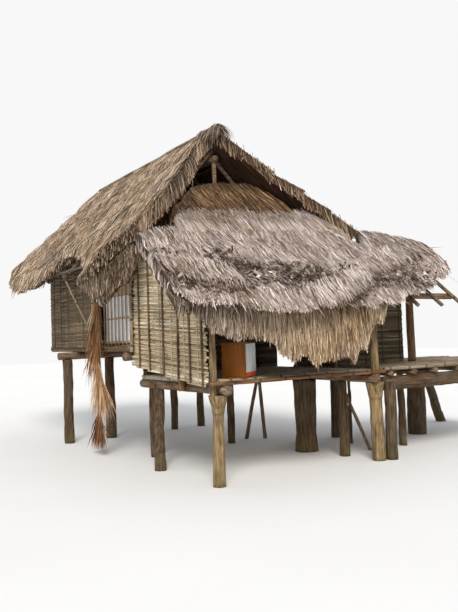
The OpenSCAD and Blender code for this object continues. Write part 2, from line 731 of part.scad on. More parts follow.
// Main thatch in ragged courses; rows run down the slope, columns along it.
// Part of the left eave has fallen away, which eave_left gives along it.
thatch_cols = 27;
last_row = 2 * course_count - 1;
eave_left = [[0, 0.96], [0.1, 0.895], [0.3, 0.78], [0.45, 0.727], [0.485, 0.91],
    [0.53, 0.97], [0.69, 0.958], [0.82, 0.916], [0.9, 0.867], [1, 0.8]];
eave_right = [[0, 0.97], [1, 0.99]];
function course_s(r, j) =
    let (k = floor(r / 2))
    r == 0 ? 0
    : r % 2 == 0 ? slope_length * k / course_count + ragged * (noise(k - 1, j) - 0.5) + 14
    : slope_length * (k + 1) / course_count + ragged * (noise(k, j) - 0.5);
function slope_cell(side, line, eave, r, j, upper) =
    let (t = side < 0 ? 1 - j / (thatch_cols - 1) : j / (thatch_cols - 1),
        end_s = slope_length * lookup(t, eave) + 1.5 * ragged * (noise(9, j) - 0.5)
            - (upper ? 0 : ragged),
        s = r == last_row ? end_s : min(course_s(r, j), end_s - 14 * (last_row - r)),
        f = s / slope_length,
        end = t == 0 || t == 1 ? ragged * (noise(r, j + 9) - 0.5) : 0,
        y = mix(veranda_depth * lookup(f, line), rear_y(f), t) + end,
        near = s - end_s + 0.14 * slope_length,
        drop = upper && near > 0
            ? 0.8 * thatch_thickness * pow(near / slope_length / 0.14, 2) : 0,
        n = upper ? thatch_thickness + (r % 2 == 1 ? course_step : 0) : 0)
    r == 0 && upper ? [ridge_x + side * seat / 2, y, ridge_height]
    : main_pt(side, max(s, seat), n - drop, y);
module slope_thatch(side, line, eave) {
    slab([for (r = [0 : last_row])
            [for (j = [0 : thatch_cols - 1]) slope_cell(side, line, eave, r, j, true)]],
         [for (r = [0 : last_row])
            [for (j = [0 : thatch_cols - 1]) slope_cell(side, line, eave, r, j, false)]]);
}
module thatch_left() {
    color([0.62, 0.50, 0.34]) slope_thatch(-1, left_front, eave_left);
}
module thatch_right() {
    color([0.58, 0.46, 0.32]) slope_thatch(1, right_front, eave_right);
}

// Weathered upper layer of the skirt in five ragged courses.
skirt_cols = 36;
cover_top = [[-1, 0.28], [-0.581, 0.35], [-0.226, 0.395], [0.16, 0.443], [0.333, 0.475],
    [0.732, 0.505], [0.983, 0.51], [2, 0.54]];
cover_eave = [[-1, -0.115], [-0.803, -0.183], [-0.521, -0.21], [-0.201, -0.22],
    [0.057, -0.23], [0.189, -0.26], [0.302, -0.26], [0.474, -0.245], [0.667, -0.21],
    [0.739, -0.235], [0.872, -0.22], [1.118, -0.163], [1.441, -0.092], [1.917, 0.065],
    [2, 0.1]];
cover_rows = [0, 0.2, 0.2, 0.42, 0.42, 0.64, 0.64, 0.84, 0.84, 1];
cover_last = len(cover_rows) - 1;
function slope_s(y) = (skirt_top_y - y) / cq;
function cover_pt(i, j, upper) =
    let (x = mix(across(-1), across(2), j / (skirt_cols - 1)),
        top = slope_s(min(outline_y(cover_top, x), upper_y(x))),
        low = slope_s(outline_y(cover_eave, x) + ragged * (noise(5, j) - 0.5))
            - (upper ? 0 : skirt_cover),
        wave = i == 0 || i == cover_last ? 0 : ragged * (noise(ceil(i / 2), j) - 0.5),
        s = mix(top, low, cover_rows[i]) + wave + (i > 0 && i % 2 == 0 ? 14 : 0),
        n = upper ? skirt_total + (i % 2 == 1 ? 0.7 * course_step : 0)
                - 0.6 * skirt_cover * bend(cover_rows[i], 0.8)
            : skirt_layer + seat)
    skirt_pt(s, n, x);
module skirt_thatch_upper() {
    color([0.55, 0.48, 0.43])
        slab([for (i = [0 : cover_last])
                [for (j = [0 : skirt_cols - 1]) cover_pt(i, j, true)]],
             [for (i = [0 : cover_last])
                [for (j = [0 : skirt_cols - 1]) cover_pt(i, j, false)]]);
}

// The lower layer bends over the eave and hangs as a long fringe.
fringe = [[-1, 0.06], [-0.618, 0.1], [-0.25, 0.34], [0, 0.52], [0.128, 0.535],
    [0.316, 0.855], [0.427, 0.92], [0.637, 1], [0.726, 0.775], [0.791, 0.65],
    [0.859, 0.33], [0.94, 0.07]];
lower_cols = 28;
lower_rows = 8;
lower_top = 0.52 * veranda_depth;
function lower_pt(i, j, n) =
    let (x = mix(across(-0.97), across(0.95), j / (lower_cols - 1)),
        top = slope_s(min(lower_top, upper_y(x))),
        turn = slope_s(eave_y),
        hang = skirt_pt(turn, 0, x)[2],
        fall = fringe_fall * lookup(share(x), fringe) + 2 * ragged * (noise(11, j) - 0.4),
        f = (i - 3) / (lower_rows - 4))
    i <= 3 ? skirt_pt(mix(top, turn, i / 3), n, x)
    : [x, eave_y - n * (0.8 - 0.45 * f) - 0.16 * fall * f,
        mix(hang + n * cq, hang - max(fall, ragged / 2), f)];
module skirt_thatch_lower() {
    color([0.68, 0.55, 0.37])
        slab([for (i = [0 : lower_rows - 1])
                [for (j = [0 : lower_cols - 1]) lower_pt(i, j, skirt_layer)]],
             [for (i = [0 : lower_rows - 1])
                [for (j = [0 : lower_cols - 1]) lower_pt(i, j, 0)]]);
}

// Fresh top course that closes the foot of the gable, thicker than the rest.
gable_cols = 16;
gable_top = [[-0.06, 0.46], [0.091, 0.615], [0.256, 0.792], [0.44, 0.856], [0.577, 0.87],
    [0.641, 0.885], [0.739, 0.877], [0.795, 0.74], [0.812, 0.7]];
function gable_pt(i, j, upper) =
    let (x = mix(across(0.03), across(0.81), j / (gable_cols - 1)),
        thick = 2.45 * skirt_layer,
        n = upper ? thick : 0,
        low = lower_top + 2 * seat,
        top = min(outline_y(gable_top, x), clear_y(x, thick)))
    skirt_pt(slope_s(mix(max(top, low + ragged), low, i / 3)), n, x);
module gable_thatch() {
    color([0.66, 0.52, 0.34])
        slab([for (i = [0 : 3]) [for (j = [0 : gable_cols - 1]) gable_pt(i, j, true)]],
             [for (i = [0 : 3]) [for (j = [0 : gable_cols - 1]) gable_pt(i, j, false)]]);
}

// Loose thatch that hangs from the left purlins: place down the slope, place
// along the veranda, and share of the longest fall.
curtain = [[0.9, 1.2, 0.3], [0.895, 1.075, 0.48], [0.885, 0.975, 0.86], [0.87, 0.89, 1],
    [0.84, 0.83, 0.98], [0.8, 0.78, 0.82], [0.761, 0.715, 0.95], [0.727, 0.665, 0.82]];
function curtain_pt(i, j, outer) =
    let (c = curtain[j],
        f = i / 3,
        w = 0.5 * thatch_thickness * (1 - 0.6 * f),
        x = ridge_x - c[0] * slope_length * cp + (outer ? -w / 2 : w / 2),
        top = under_z(x) - (purlin_d + 2 * seat) / cp)
    [x, c[1] * veranda_depth + (outer ? -w / 3 : w / 3),
        top - f * (curtain_fall * c[2] + ragged * (noise(j, 21) - 0.5))];
module hanging_thatch() {
    color([0.52, 0.42, 0.31])
        slab([for (i = [0 : 3]) [for (j = [0 : len(curtain) - 1]) curtain_pt(i, j, true)]],
             [for (i = [0 : 3]) [for (j = [0 : len(curtain) - 1]) curtain_pt(i, j, false)]]);
}

// Dry palm frond that hangs on its rib from a purlin down to the ground; the
// outline is given back from the rib and up as shares of the rib's height.
frond_line = [[-0.013, 0.76], [0.013, 0.76], [0.07, 0.59], [0.155, 0.375], [0.1, 0.355],
    [0.13, 0.17], [0.04, 0.015], [-0.07, 0.015], [-0.18, 0.155], [-0.035, 0.345], [-0.02, 0.55]];
module hanging_frond() {
    top = main_pt(-1, hang_s, purlin_n, 0);
    rib_y = veranda_depth + 0.245 * room_length;
    rib_h = top[2] - purlin_d / 2 - seat;
    color([0.60, 0.38, 0.20]) {
        translate([top[0], rib_y, 0.35 * rib_h])
            cylinder(h = 0.65 * rib_h, d = 0.5 * pale_pole_d);
        side_panel(top[0] - 0.3 * pale_pole_d, 0.6 * pale_pole_d,
            [for (p = frond_line) [rib_y + p[0] * rib_h, p[1] * rib_h]]);
    }
}

// Small cupboard that stands askew on the veranda floor.
module cupboard() {
    color([0.55, 0.30, 0.10])
        translate([0.077 * front_width, 0.083 * veranda_depth, veranda_floor_top + seat])
            rotate([0, 0, -52])
                cube([cupboard_w, 1.35 * cupboard_w, cupboard_h]);
}

front_left_post();
front_right_post();
left_middle_post();
room_posts();
inner_veranda_posts();
deck_posts();
slanting_props();
veranda_beams();
veranda_floor();
front_edge_pole();
cross_logs();
room_beams();
room_floor();
deck_front_log();
deck_frame();
deck_poles();
left_wall_front();
left_wall_battens();
left_wall_middle();
window_sheet();
sill_log();
left_wall_rear();
pale_poles();
room_front_wall();
rear_wall();
right_wall();
deck_screen();
room_uprights();
veranda_uprights();
wall_plates();
ridge_pole();
gable_frame();
rafters();
purlins();
skirt_plates();
skirt_rafters();
ridge_top_pole();
cupboard();
thatch_left();
thatch_right();
gable_thatch();
skirt_thatch_lower();
skirt_thatch_upper();
hanging_thatch();
hanging_frond();
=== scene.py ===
"""Thatched hut on log stilts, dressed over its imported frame.

The frame gives every log, wall and thatch slab. This script bends and roughens
the timber, weaves the bamboo walls, lays palm leaf over the thatch, and gives
each surface its finish. All sizes are metres.
"""

import json
import logging
import math
from dataclasses import dataclass, field
from enum import Enum
from typing import Any, Protocol

import bpy
import numpy as np
from mathutils import Matrix, Vector, noise
from mathutils.bvhtree import BVHTree

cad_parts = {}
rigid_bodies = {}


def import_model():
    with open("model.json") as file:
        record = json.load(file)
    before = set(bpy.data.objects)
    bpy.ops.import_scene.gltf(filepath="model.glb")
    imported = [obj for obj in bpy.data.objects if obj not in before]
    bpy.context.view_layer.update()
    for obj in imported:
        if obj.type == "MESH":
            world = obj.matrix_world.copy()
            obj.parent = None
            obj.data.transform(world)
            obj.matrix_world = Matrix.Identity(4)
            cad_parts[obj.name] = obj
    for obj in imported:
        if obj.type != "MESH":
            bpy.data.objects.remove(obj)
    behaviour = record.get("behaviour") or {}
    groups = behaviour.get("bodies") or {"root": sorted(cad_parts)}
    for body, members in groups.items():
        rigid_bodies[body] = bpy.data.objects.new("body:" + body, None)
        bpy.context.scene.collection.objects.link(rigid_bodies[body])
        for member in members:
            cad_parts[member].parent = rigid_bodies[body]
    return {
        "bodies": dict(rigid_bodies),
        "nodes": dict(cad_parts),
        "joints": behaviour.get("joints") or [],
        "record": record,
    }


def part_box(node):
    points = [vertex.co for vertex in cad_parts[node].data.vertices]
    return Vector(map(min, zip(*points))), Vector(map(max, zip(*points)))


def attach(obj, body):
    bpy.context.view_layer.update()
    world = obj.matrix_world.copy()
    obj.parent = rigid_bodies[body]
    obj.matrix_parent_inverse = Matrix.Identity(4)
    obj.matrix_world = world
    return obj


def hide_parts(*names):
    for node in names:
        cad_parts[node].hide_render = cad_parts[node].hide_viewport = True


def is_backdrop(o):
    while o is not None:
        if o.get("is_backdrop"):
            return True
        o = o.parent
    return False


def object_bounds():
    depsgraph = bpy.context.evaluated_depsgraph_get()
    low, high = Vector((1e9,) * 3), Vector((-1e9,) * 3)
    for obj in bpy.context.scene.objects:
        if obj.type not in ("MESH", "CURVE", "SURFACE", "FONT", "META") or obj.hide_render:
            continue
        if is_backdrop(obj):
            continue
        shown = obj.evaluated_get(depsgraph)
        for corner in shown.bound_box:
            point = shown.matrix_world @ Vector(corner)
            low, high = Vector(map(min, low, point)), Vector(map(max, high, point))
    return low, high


LOG = logging.getLogger("stilt_house")
ROOT = "root"
NOISE_SEED = 7
SLOPE_TURN = math.radians(45)
SKIRT_TURN = math.radians(39)
BLADE_PARTS = 3
FULL_TURN = 6.28
# How far loose leaves may pass the frame's box, and how far they stay off the ground
LEAF_SPARE = 0.11
GROUND_GAP = 0.01
# Depth of the main thatch, measured upright at the ridge
THATCH_DEPTH = 0.218
# Underside of the skirt roof at its head: below the roof's top, and as a share of the way to the room
SKIRT_DROP = 0.996
SKIRT_HEAD_SHARE = 0.86
Colour = tuple[float, float, float, float]
Stops = tuple[tuple[float, str], ...]
Edge = tuple[tuple[float, float], ...]


def paint(code: str) -> Colour:
    """Turn a colour as it is seen into the linear one that a shader takes.

    Args:
        code: Six hex digits, such as "8a7a66".

    Returns:
        Linear red, green and blue, with alpha 1.
    """
    seen = [int(code[k : k + 2], 16) / 255 for k in (0, 2, 4)]
    red, green, blue = (
        c / 12.92 if c <= 0.04045 else ((c + 0.055) / 1.055) ** 2.4 for c in seen
    )
    return red, green, blue, 1.0


class Run(Enum):
    """The way that a log or a strip runs."""

    ACROSS = (1, 0, 0)
    BACK = (0, 1, 0)
    UP = (0, 0, 1)

    @property
    def index(self) -> int:
        """Number of the axis that the run follows."""
        return self.value.index(1)

    def grain(self, along: float, around: float) -> tuple[float, float, float]:
        """Feature sizes of a grain that is long along this run.

        Args:
            along: Size along the run.
            around: Size across it.

        Returns:
            One size for each axis.
        """
        return tuple(along if k else around for k in self.value)


class Graph:
    """Shader nodes of one finish, on the object's own coordinates."""

    def __init__(self, name: str) -> None:
        """Start a material with a Principled surface.

        Args:
            name: Name of the material.
        """
        self.material = bpy.data.materials.new(name)
        self.material.use_nodes = True
        self.tree = self.material.node_tree
        self.tree.nodes.clear()
        end = self.add("ShaderNodeOutputMaterial")
        self.surface = self.add("ShaderNodeBsdfPrincipled")
        self.surface.inputs["Specular IOR Level"].default_value = 0.25
        self.join(self.surface.outputs[0], end.inputs[0])
        self.place = self.add("ShaderNodeTexCoord").outputs["Object"]

    def add(self, kind: str, **settings: Any) -> bpy.types.Node:
        """Add a node.

        Args:
            kind: Blender's name of its type.
            settings: Options by name.

        Returns:
            The node.
        """
        node = self.tree.nodes.new(kind)
        for key, value in settings.items():
            setattr(node, key, value)
        return node

    def join(self, start: Any, end: Any) -> None:
        """Link one socket to another."""
        self.tree.links.new(start, end)

    def cloud(self, size: tuple[float, float, float], detail: float = 4.0,
              turn: tuple[float, float, float] = (0, 0, 0), rough: float = 0.6) -> Any:
        """Noise whose features have a given size on each axis.

        Args:
            size: Feature size on each axis of the turned frame.
            detail: Octaves of the noise.
            turn: Turn of the frame, in radians.
            rough: Weight of the finer octaves.

        Returns:
            The noise value's socket.
        """
        frame = self.add("ShaderNodeMapping", vector_type="TEXTURE")
        frame.inputs["Rotation"].default_value = turn
        frame.inputs["Scale"].default_value = size
        self.join(self.place, frame.inputs["Vector"])
        source = self.add("ShaderNodeTexNoise")
        source.inputs["Scale"].default_value = 1.0
        source.inputs["Detail"].default_value = detail
        source.inputs["Roughness"].default_value = rough
        self.join(frame.outputs[0], source.inputs["Vector"])
        return source.outputs["Fac"]

    def bands(self, pitch: float, run: Run, warp: float = 0.0) -> Any:
        """Sine bands that repeat along an axis.

        Args:
            pitch: Distance from band to band.
            run: Axis along which they repeat.
            warp: How far they wander.

        Returns:
            The band value's socket, 0 to 1.
        """
        source = self.add("ShaderNodeTexWave", bands_direction="XYZ"[run.index])
        source.inputs["Scale"].default_value = 0.314 / pitch
        source.inputs["Distortion"].default_value = warp
        source.inputs["Detail"].default_value = 2.0
        source.inputs["Detail Scale"].default_value = 1.5
        self.join(self.place, source.inputs["Vector"])
        return source.outputs["Fac"]

    def ramp(self, value: Any, stops: Stops) -> Any:
        """Colours along a value.

        Args:
            value: Socket that is looked up.
            stops: Places from 0 to 1 with their colours.

        Returns:
            The colour's socket.
        """
        node = self.add("ShaderNodeValToRGB")
        row = node.color_ramp.elements
        while len(row) < len(stops):
            row.new(0.5)
        for element, (place, code) in zip(row, stops):
            element.position = place
            element.color = paint(code)
        self.join(value, node.inputs["Fac"])
        return node.outputs["Color"]

    def mix(self, share: Any, first: Any, second: Any) -> Any:
        """Blend two colours.

        Args:
            share: Socket of the second colour's share.
            first: Socket of the first colour.
            second: Socket of the second one, or its hex code.

        Returns:
            The colour's socket.
        """
        node = self.add("ShaderNodeMix", data_type="RGBA", blend_type="MIX")
        self.join(share, node.inputs["Factor"])
        self.join(first, node.inputs["A"])
        if isinstance(second, str):
            node.inputs["B"].default_value = paint(second)
        else:
            self.join(second, node.inputs["B"])
        return node.outputs["Result"]

    def sum(self, kind: str, first: Any, second: Any) -> Any:
        """Work out one value from two, each a socket or a number.

        Args:
            kind: Kind of arithmetic.
            first: First value.
            second: Second value.

        Returns:
            The result's socket.
        """
        node = self.add("ShaderNodeMath", operation=kind, use_clamp=False)
        for spot, value in enumerate((first, second)):
            if isinstance(value, (int, float)):
                node.inputs[spot].default_value = value
            else:
                self.join(value, node.inputs[spot])
        return node.outputs[0]

    def span(self, value: Any, low: float, high: float) -> Any:
        """Stretch a value, clamped at both ends.

        Args:
            value: Socket of the value.
            low: Value that becomes 0.
            high: Value that becomes 1.

        Returns:
            The stretched value's socket.
        """
        node = self.add("ShaderNodeMapRange", clamp=True)
        node.inputs["From Min"].default_value = low
        node.inputs["From Max"].default_value = high
        self.join(value, node.inputs["Value"])
        return node.outputs[0]

    def mark(self, name: str) -> Any:
        """Value that the piece's mesh carries under a name."""
        return self.add("ShaderNodeAttribute", attribute_name=name).outputs["Fac"]

    def along(self, axis: str) -> Any:
        """Place along one axis of the frame.

        Args:
            axis: X, Y or Z.

        Returns:
            The place's socket, in metres.
        """
        node = self.add("ShaderNodeSeparateXYZ")
        self.join(self.place, node.inputs[0])
        return node.outputs[axis]

    def patches(self, size: tuple[float, float, float], low: float, high: float, detail: float = 4.0) -> Any:
        """Noise of which only the brighter patches are left.

        Args:
            size: Feature size on each axis.
            low: Noise value at which a patch begins.
            high: Noise value at which it is full.
            detail: Octaves of the noise.

        Returns:
            The patch value's socket, 0 to 1.
        """
        return self.span(self.cloud(size, detail), low, high)

    def tint(self, colour: Any, code: str, where: Any, share: float) -> Any:
        """Lay a second colour over the first one.

        Args:
            colour: Socket of the first colour.
            code: Hex code of the second one.
            where: Socket that says where it lies, 0 to 1.
            share: How strongly it covers there.

        Returns:
            The colour's socket.
        """
        return self.mix(self.sum("MULTIPLY", where, share), colour, code)

    def close(self, colour: Any, rough: float, relief: Any, depth: float) -> bpy.types.Material:
        """Join colour and relief to the surface.

        Args:
            colour: Socket of the base colour.
            rough: Roughness.
            relief: Socket of the bump height.
            depth: Distance of the bump.

        Returns:
            The finished material.
        """
        self.join(colour, self.surface.inputs["Base Color"])
        self.surface.inputs["Roughness"].default_value = rough
        bump = self.add("ShaderNodeBump")
        bump.inputs["Strength"].default_value = 0.8
        bump.inputs["Distance"].default_value = depth
        self.join(relief, bump.inputs["Height"])
        self.join(bump.outputs[0], self.surface.inputs["Normal"])
        return self.material


class Finish(Protocol):
    """Anything that makes a material."""

    def material(self) -> bpy.types.Material:
        """Make the material."""


@dataclass(frozen=True)
class BarkFinish:
    """Weathered log: long grain, pale worn patches, cracks and a mossy foot."""

    name: str
    run: Run
    dark: str = "3b2c21"
    body: str = "7b5f46"
    worn: str = "a78a6b"
    grey: Stops = ((0.3, "4f4236"), (0.6, "94806a"), (0.75, "b8a58c"))
    moss: float = 0.0

    def material(self) -> bpy.types.Material:
        """Make the material."""
        g = Graph(self.name)
        grain = g.cloud(self.run.grain(0.22, 0.022), 6.0)
        colour = g.ramp(grain, ((0.28, self.dark), (0.5, self.body), (0.72, self.worn)))
        colour = g.mix(g.patches((0.3, 0.3, 0.3), 0.42, 0.62, 3.0), colour, g.ramp(grain, self.grey))
        crack = g.cloud(self.run.grain(0.5, 0.009), 2.0)
        colour = g.mix(g.span(crack, 0.62, 0.7), colour, "2a221a")
        if self.moss:
            low = g.sum("SUBTRACT", 1.0, g.span(g.along("Z"), 0.02, self.moss))
            damp = g.sum("MULTIPLY", low, g.patches((0.06, 0.06, 0.09), 0.35, 0.65))
            colour = g.tint(colour, "62603c", damp, 0.5)
        relief = g.sum("SUBTRACT", grain, g.span(crack, 0.6, 0.72))
        return g.close(colour, 0.88, relief, 0.012)


@dataclass(frozen=True)
class CaneFinish:
    """Bamboo pole: fine long streaks, dark rings at the joints, dusty patches."""

    name: str
    run: Run
    dark: str = "5b4c3a"
    body: str = "93836a"
    light: str = "b8aa8c"
    joint: float = 0.34

    def material(self) -> bpy.types.Material:
        """Make the material."""
        g = Graph(self.name)
        streak = g.cloud(self.run.grain(0.6, 0.012), 5.0)
        colour = g.ramp(streak, ((0.3, self.dark), (0.52, self.body), (0.74, self.light)))
        colour = g.mix(g.patches(self.run.grain(0.5, 0.09), 0.5, 0.7, 3.0), colour, self.dark)
        ring = g.span(g.bands(self.joint, self.run, 1.6), 0.965, 0.995)
        colour = g.tint(colour, "3b2f22", ring, 0.7)
        relief = g.sum("ADD", streak, g.sum("MULTIPLY", ring, 1.5))
        return g.close(colour, 0.7, relief, 0.006)


@dataclass(frozen=True)
class LeafFinish:
    """Dry palm leaf: a tone for each strand, painted shade that darkens the roots, and weathered patches."""

    name: str
    tones: Stops
    weathered: Stops
    patch: tuple[float, float] = (0.5, 0.65)
    root: str = "2e241a"
    root_shade_share: float = 0.6
    greying: tuple[float, float] = (-8.0, -9.0)

    def material(self) -> bpy.types.Material:
        """Make the material."""
        g = Graph(self.name)
        tone = g.mark("tone")
        colour = g.ramp(tone, self.tones)
        other = g.ramp(tone, self.weathered)
        where = g.patches((0.55, 0.55, 0.4), *self.patch, 5.0)
        where = g.sum("MAXIMUM", where, g.span(g.along("X"), *self.greying))
        colour = g.mix(where, colour, other)
        # Painted shade: each leaf darkens towards its root, as if covered by the leaves laid over it.
        root = g.sum("SUBTRACT", 1.0, g.span(g.mark("reach"), 0.0, 0.55))
        colour = g.tint(colour, self.root, root, self.root_shade_share)
        rib = g.cloud((0.006, 0.006, 0.02), 2.0)
        colour = g.tint(colour, self.root, g.span(rib, 0.5, 0.8), 0.3)
        return g.close(colour, 0.82, rib, 0.003)


@dataclass(frozen=True)
class CoreFinish:
    """Thatch seen between and under its loose leaves: dark streaks down the slope."""

    name: str
    turn: tuple[float, float, float]
    dark: str = "2b2017"
    body: str = "5d4935"
    light: str = "8a7052"

    def material(self) -> bpy.types.Material:
        """Make the material."""
        g = Graph(self.name)
        run = Run.BACK if self.turn[0] else Run.ACROSS
        streak = g.cloud(run.grain(0.35, 0.016), 5.0, self.turn)
        colour = g.ramp(streak, ((0.32, self.dark), (0.52, self.body), (0.72, self.light)))
        colour = g.tint(colour, self.dark, g.patches((0.4, 0.4, 0.4), 0.45, 0.7), 0.6)
        return g.close(colour, 0.95, streak, 0.02)


@dataclass(frozen=True)
class StripFinish:
    """Split bamboo strips: a tone for each strip, long streaks and grimy patches."""

    name: str
    run: Run
    tones: Stops
    grime: str = "3c3326"
    grime_share: float = 0.55

    def material(self) -> bpy.types.Material:
        """Make the material."""
        g = Graph(self.name)
        streak = g.cloud(self.run.grain(0.35, 0.007), 5.0)
        colour = g.ramp(g.mark("tone"), self.tones)
        colour = g.tint(colour, self.grime, g.span(streak, 0.48, 0.72), 0.45)
        colour = g.tint(colour, self.grime, g.patches((0.3, 0.3, 0.22), 0.5, 0.75, 5.0), self.grime_share)
        return g.close(colour, 0.75, streak, 0.004)


@dataclass(frozen=True)
class BoardFinish:
    """Varnished board: fine upright grain, painted light that warms it low down while the top stays darker as
    if in shade, worn edges.
    """

    name: str

    def material(self) -> bpy.types.Material:
        """Make the material."""
        g = Graph(self.name)
        grain = g.cloud((0.012, 0.012, 0.5), 5.0)
        colour = g.ramp(grain, ((0.3, "5e360c"), (0.5, "80480d"), (0.7, "98601d")))
        # Painted light: the lower part is tinted warmer and brighter, and the top is left darker as if in
        # shade.
        painted_low_light = g.sum("SUBTRACT", 1.0, g.span(g.along("Z"), 1.2, 1.55))
        colour = g.tint(colour, "a05c14", painted_low_light, 0.5)
        colour = g.tint(colour, "a8835c", g.patches((0.05, 0.05, 0.08), 0.55, 0.8, 5.0), 0.25)
        return g.close(colour, 0.42, grain, 0.001)


@dataclass(frozen=True)
class SheetFinish:
    """Thin pale sheet, blank, with faint creases painted darker in their hollows as shade, and dirt along its
    edge.
    """

    name: str
    body: str
    shade: str
    hem: str = ""
    hem_height: float = 0.0

    def material(self) -> bpy.types.Material:
        """Make the material."""
        g = Graph(self.name)
        crease = g.cloud((0.03, 0.09, 0.12), 5.0)
        # Painted shade: the sheet is darker where the crease relief is low, in its hollows.
        colour = g.ramp(crease, ((0.35, self.shade), (0.6, self.body)))
        colour = g.tint(colour, "8a8478", g.patches((0.02, 0.02, 0.02), 0.6, 0.8), 0.2)
        if self.hem:
            low = g.sum("LESS_THAN", g.along("Z"), self.hem_height)
            colour = g.mix(low, colour, self.hem)
        return g.close(colour, 0.6, crease, 0.004)


GREY_LEAF: Stops = ((0.0, "5f4c45"), (0.3, "ab968b"), (0.6, "d6c2b6"), (0.85, "f0e2d9"), (1.0, "faf3ee"))
BROWN_GREY_LEAF: Stops = ((0.0, "4b3c31"), (0.35, "8a7766"), (0.7, "b5a18e"), (1.0, "ded1c0"))
TAN_LEAF: Stops = ((0.0, "5a4534"), (0.3, "a58a6f"), (0.6, "ccb195"), (0.85, "e3cfb6"), (1.0, "f2e5d2"))
FRESH_LEAF: Stops = ((0.0, "4a3624"), (0.3, "957656"), (0.65, "c6a883"), (0.9, "e2cbaa"), (1.0, "f3e3c8"))
# Painted shade: dark tones for the gable thatch and its wing under the main roof, and for the dark course
# under the raised course's edge.
SHADED_LEAF: Stops = ((0.0, "2a1c11"), (0.3, "553b27"), (0.65, "7a5b3e"), (0.9, "a17f58"), (1.0, "c5a57a"))
# Painted shade: darker tones for the hanging curtain, for the shade under the eave.
CURTAIN_SHADE_LEAF: Stops = ((0.0, "3c2e23"), (0.3, "76614d"), (0.6, "9e876f"), (0.85, "c0ab92"), (1.0, "dccbb4"))
RUST_LEAF: Stops = ((0.0, "5a3a24"), (0.4, "966842"), (0.75, "bb8c60"), (1.0, "d9b68c"))
BARK_LEAF: Stops = ((0.0, "2a211b"), (0.5, "54443a"), (0.85, "7d6858"), (1.0, "a18c78"))


def clear_selection() -> None:
    """Leave object mode with nothing selected."""
    if bpy.context.object and bpy.context.object.mode != "OBJECT":
        bpy.ops.object.mode_set(mode="OBJECT")
    bpy.ops.object.select_all(action="DESELECT")


def take_up(piece: bpy.types.Object) -> None:
    """Select one piece alone and make it active.

    Args:
        piece: The piece.
    """
    clear_selection()
    piece.hide_set(False)
    piece.select_set(True)
    bpy.context.view_layer.objects.active = piece


def slice_up(places: list[Vector], normal: tuple[int, int, int]) -> None:
    """Cut the whole active piece by parallel planes.

    Args:
        places: A point on each plane.
        normal: Direction that the planes face.
    """
    bpy.ops.object.mode_set(mode="EDIT")
    for place in places:
        bpy.ops.mesh.select_all(action="SELECT")
        bpy.ops.mesh.bisect(plane_co=place, plane_no=normal)
    bpy.ops.mesh.select_all(action="DESELECT")
    bpy.ops.object.mode_set(mode="OBJECT")


def merged_copy(nodes: list[bpy.types.Object], name: str) -> bpy.types.Object:
    """Copy CAD nodes into one new piece and merge its loose corners.

    Args:
        nodes: The nodes' objects.
        name: Name of the new piece.

    Returns:
        The new piece, selected.
    """
    copies = []
    for node in nodes:
        mesh = node.data.copy()
        mesh.materials.clear()
        copy = bpy.data.objects.new(name, mesh)
        bpy.context.scene.collection.objects.link(copy)
        copies.append(copy)
    clear_selection()
    for copy in copies:
        copy.select_set(True)
    bpy.context.view_layer.objects.active = copies[0]
    if len(copies) > 1:
        bpy.ops.object.join()
    piece = bpy.context.object
    piece.name = name
    bpy.ops.object.mode_set(mode="EDIT")
    bpy.ops.mesh.select_all(action="SELECT")
    bpy.ops.mesh.remove_doubles(threshold=0.0001)
    bpy.ops.object.mode_set(mode="OBJECT")
    return piece


def unit(value: float) -> float:
    """Hold a value between 0 and 1."""
    return min(1.0, max(0.0, value))


def corners(mesh: bpy.types.Mesh) -> np.ndarray:
    """Read the places of a mesh's vertices.

    Args:
        mesh: The mesh.

    Returns:
        One row for each vertex.
    """
    flat = np.empty(len(mesh.vertices) * 3)
    mesh.vertices.foreach_get("co", flat)
    return flat.reshape(-1, 3)


def place_corners(mesh: bpy.types.Mesh, rows: np.ndarray) -> None:
    """Move a mesh's vertices to the places in the rows."""
    mesh.vertices.foreach_set("co", np.asarray(rows, float).ravel())
    mesh.update()


def dress(piece: bpy.types.Object, material: bpy.types.Material) -> bpy.types.Object:
    """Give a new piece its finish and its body.

    Args:
        piece: The piece.
        material: Its finish.

    Returns:
        The piece.
    """
    piece.data.materials.clear()
    piece.data.materials.append(material)
    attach(piece, ROOT)
    return piece


